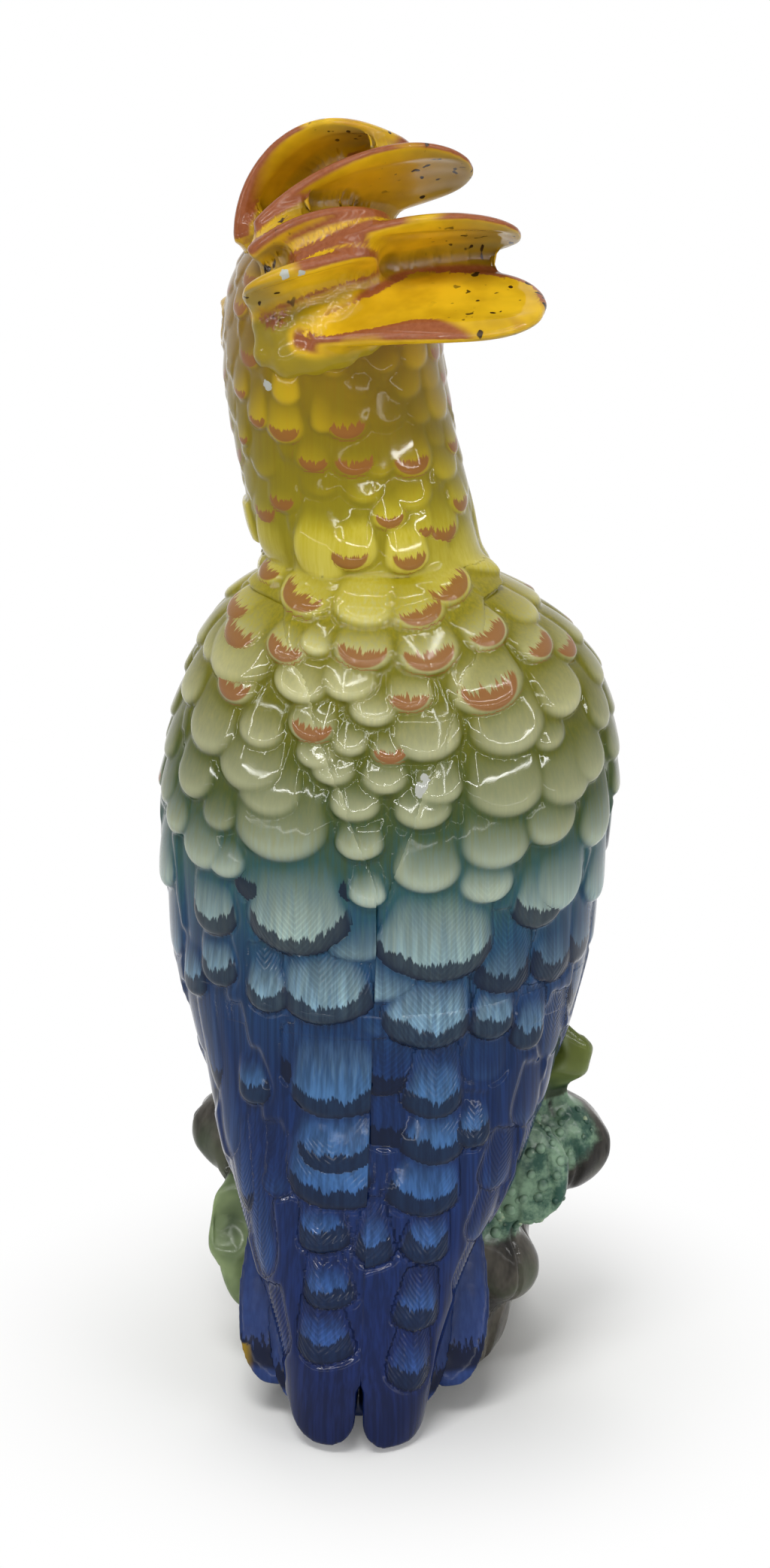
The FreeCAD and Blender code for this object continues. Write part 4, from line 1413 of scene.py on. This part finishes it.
stand(torso, "torso_glaze", "torso_shell")
stand(left_wing, "wing_glaze", "left_wing")
stand(right_wing, "wing_glaze", "right_wing")
stand(head, "head_glaze", "head_shell")
for piece, node in zip(thighs, ("left_thigh", "right_thigh")):
    stand(piece, "thigh_glaze", node)
stand(stump, "bark_glaze", *STUMP_NODES, *SIDE_LEAF_NODES)
stand(moss, None)
for piece, node in zip(eyes, ("left_eye", "right_eye")):
    stand(piece, "eye_glaze", node)
stand(crest, "crest_glaze", *CREST_NODES)
for node, piece in zip(TAIL_NODES, tail):
    stand(piece, "quill_glaze", node)
for node, piece in zip(LEAF_NODES, leaves):
    stand(piece, "leaf_glaze", node)
print("solids dressed", len(NODES))

# %% [markdown]
# ## Floor, light and air
# A plain pale floor keeps the figure's shadow and fades to white further out. The glaze
# shows its lamps as thin bright outlines, which come from a lamp shaped like a picture
# frame, so narrow strips make several such frames. Three broad soft lamps light the paint.

# %% Floor and surroundings
AMBIENT = 0.42                          # strength of the soft light from all round
WHITE = (1, 1, 1, 1)


def white_rays(tree):
    """1 for rays from the camera, from gloss and through glass, which should meet white."""
    rays = add(tree, "ShaderNodeLightPath").outputs
    seen_or_mirrored = maths("MAXIMUM", Value(rays["Is Camera Ray"]), Value(rays["Is Glossy Ray"]))
    return maths("MAXIMUM", seen_or_mirrored, Value(rays["Is Transmission Ray"]))


def make_floor(size):
    """A pale floor that turns to plain white for the camera and for reflections."""
    mesh = bpy.data.meshes.new("floor")
    mesh.from_pydata([(-size, -size, 0), (size, -size, 0), (size, size, 0), (-size, size, 0)],
                     [], [(0, 1, 2, 3)])
    floor = bpy.data.objects.new("floor", mesh)
    CLAY.objects.link(floor)
    material = bpy.data.materials.new("floor_paper")
    material.use_nodes = True
    tree = material.node_tree
    tree.nodes.clear()
    place = add(tree, "ShaderNodeTexCoord").outputs["Object"]
    away = add(tree, "ShaderNodeVectorMath", {0: place}, operation="LENGTH").outputs["Value"]
    share = white_rays(tree) * between(Value(away), 0.04, 0.17)
    paper = add(tree, "ShaderNodeBsdfDiffuse", {"Color": "f4f4f2"}).outputs[0]
    white = add(tree, "ShaderNodeEmission", {"Color": WHITE, "Strength": 1.0}).outputs[0]
    both = add(tree, "ShaderNodeMixShader", {0: share, 1: paper, 2: white}).outputs[0]
    add(tree, "ShaderNodeOutputMaterial", {"Surface": both})
    mesh.materials.append(material)


def make_world(ambient):
    """White behind everything that is seen, and a soft grey light on everything else."""
    world = bpy.data.worlds.new("studio")
    bpy.context.scene.world = world
    world.use_nodes = True
    tree = world.node_tree
    tree.nodes.clear()
    lit, white = (add(tree, "ShaderNodeBackground", {"Color": WHITE, "Strength": strength})
                  .outputs[0] for strength in (ambient, 1.0))
    both = add(tree, "ShaderNodeMixShader", {0: white_rays(tree), 1: lit, 2: white}).outputs[0]
    add(tree, "ShaderNodeOutputWorld", {"Surface": both})


make_floor(6.0)
make_world(AMBIENT)
print("light from all round", AMBIENT)

# %% Lamps
STRIP, RING = 0.028, 1.85               # width of a frame's strips, radius of their ring, metres
LEVELS = (                              # share of the ring's radius, height and watts
    (0.62, 2.20, 8.0), (1.0, 1.85, 8.0), (1.0, 1.25, 8.0), (1.0, 0.65, 8.0), (1.0, 0.16, 1.5))
LOOK_AT = Vector((0, 0, 0.25))          # the middle of the figure


def lamp(name, place, wide, tall, watts, mirrored):
    """A soft rectangular lamp that faces the figure: only mirrored in the glaze, or only not."""
    data = bpy.data.lights.new(name, "AREA")
    data.shape, data.size, data.size_y, data.energy = "RECTANGLE", wide, tall, watts
    item = bpy.data.objects.new(name, data)
    item.location = place
    item.rotation_euler = (LOOK_AT - Vector(place)).to_track_quat("-Z", "Y").to_euler()
    item.visible_glossy, item.visible_diffuse = mirrored, not mirrored
    CLAY.objects.link(item)


def ring_place(turn):
    """Where on the ring of strips a turn in degrees lies, as x and y."""
    return RING * math.sin(math.radians(turn)), RING * math.cos(math.radians(turn))


lamp("key", (0.35, 1.1, 2.0), 0.9, 0.6, 24, False)
lamp("fill", (-1.3, 1.2, 0.6), 0.6, 0.9, 5, False)
lamp("front", (0.2, -1.6, 1.2), 0.9, 0.9, 13, False)
for n, turn in enumerate((-50, 0, 50)):
    x, y = ring_place(turn)
    for near, z, watts in LEVELS:
        lamp("level_%d_%d" % (n, 100 * z), (x * near, y * near, z), 1.56 * near, STRIP,
             watts * near, True)
for n, turn in enumerate((-75, -25, 25, 75)):
    lamp("upright_%d" % n, (*ring_place(turn), 1.25), STRIP, 1.2, 6.0, True)
bpy.context.scene.view_settings.view_transform = "Standard"
print("lamps", len(bpy.data.lights))
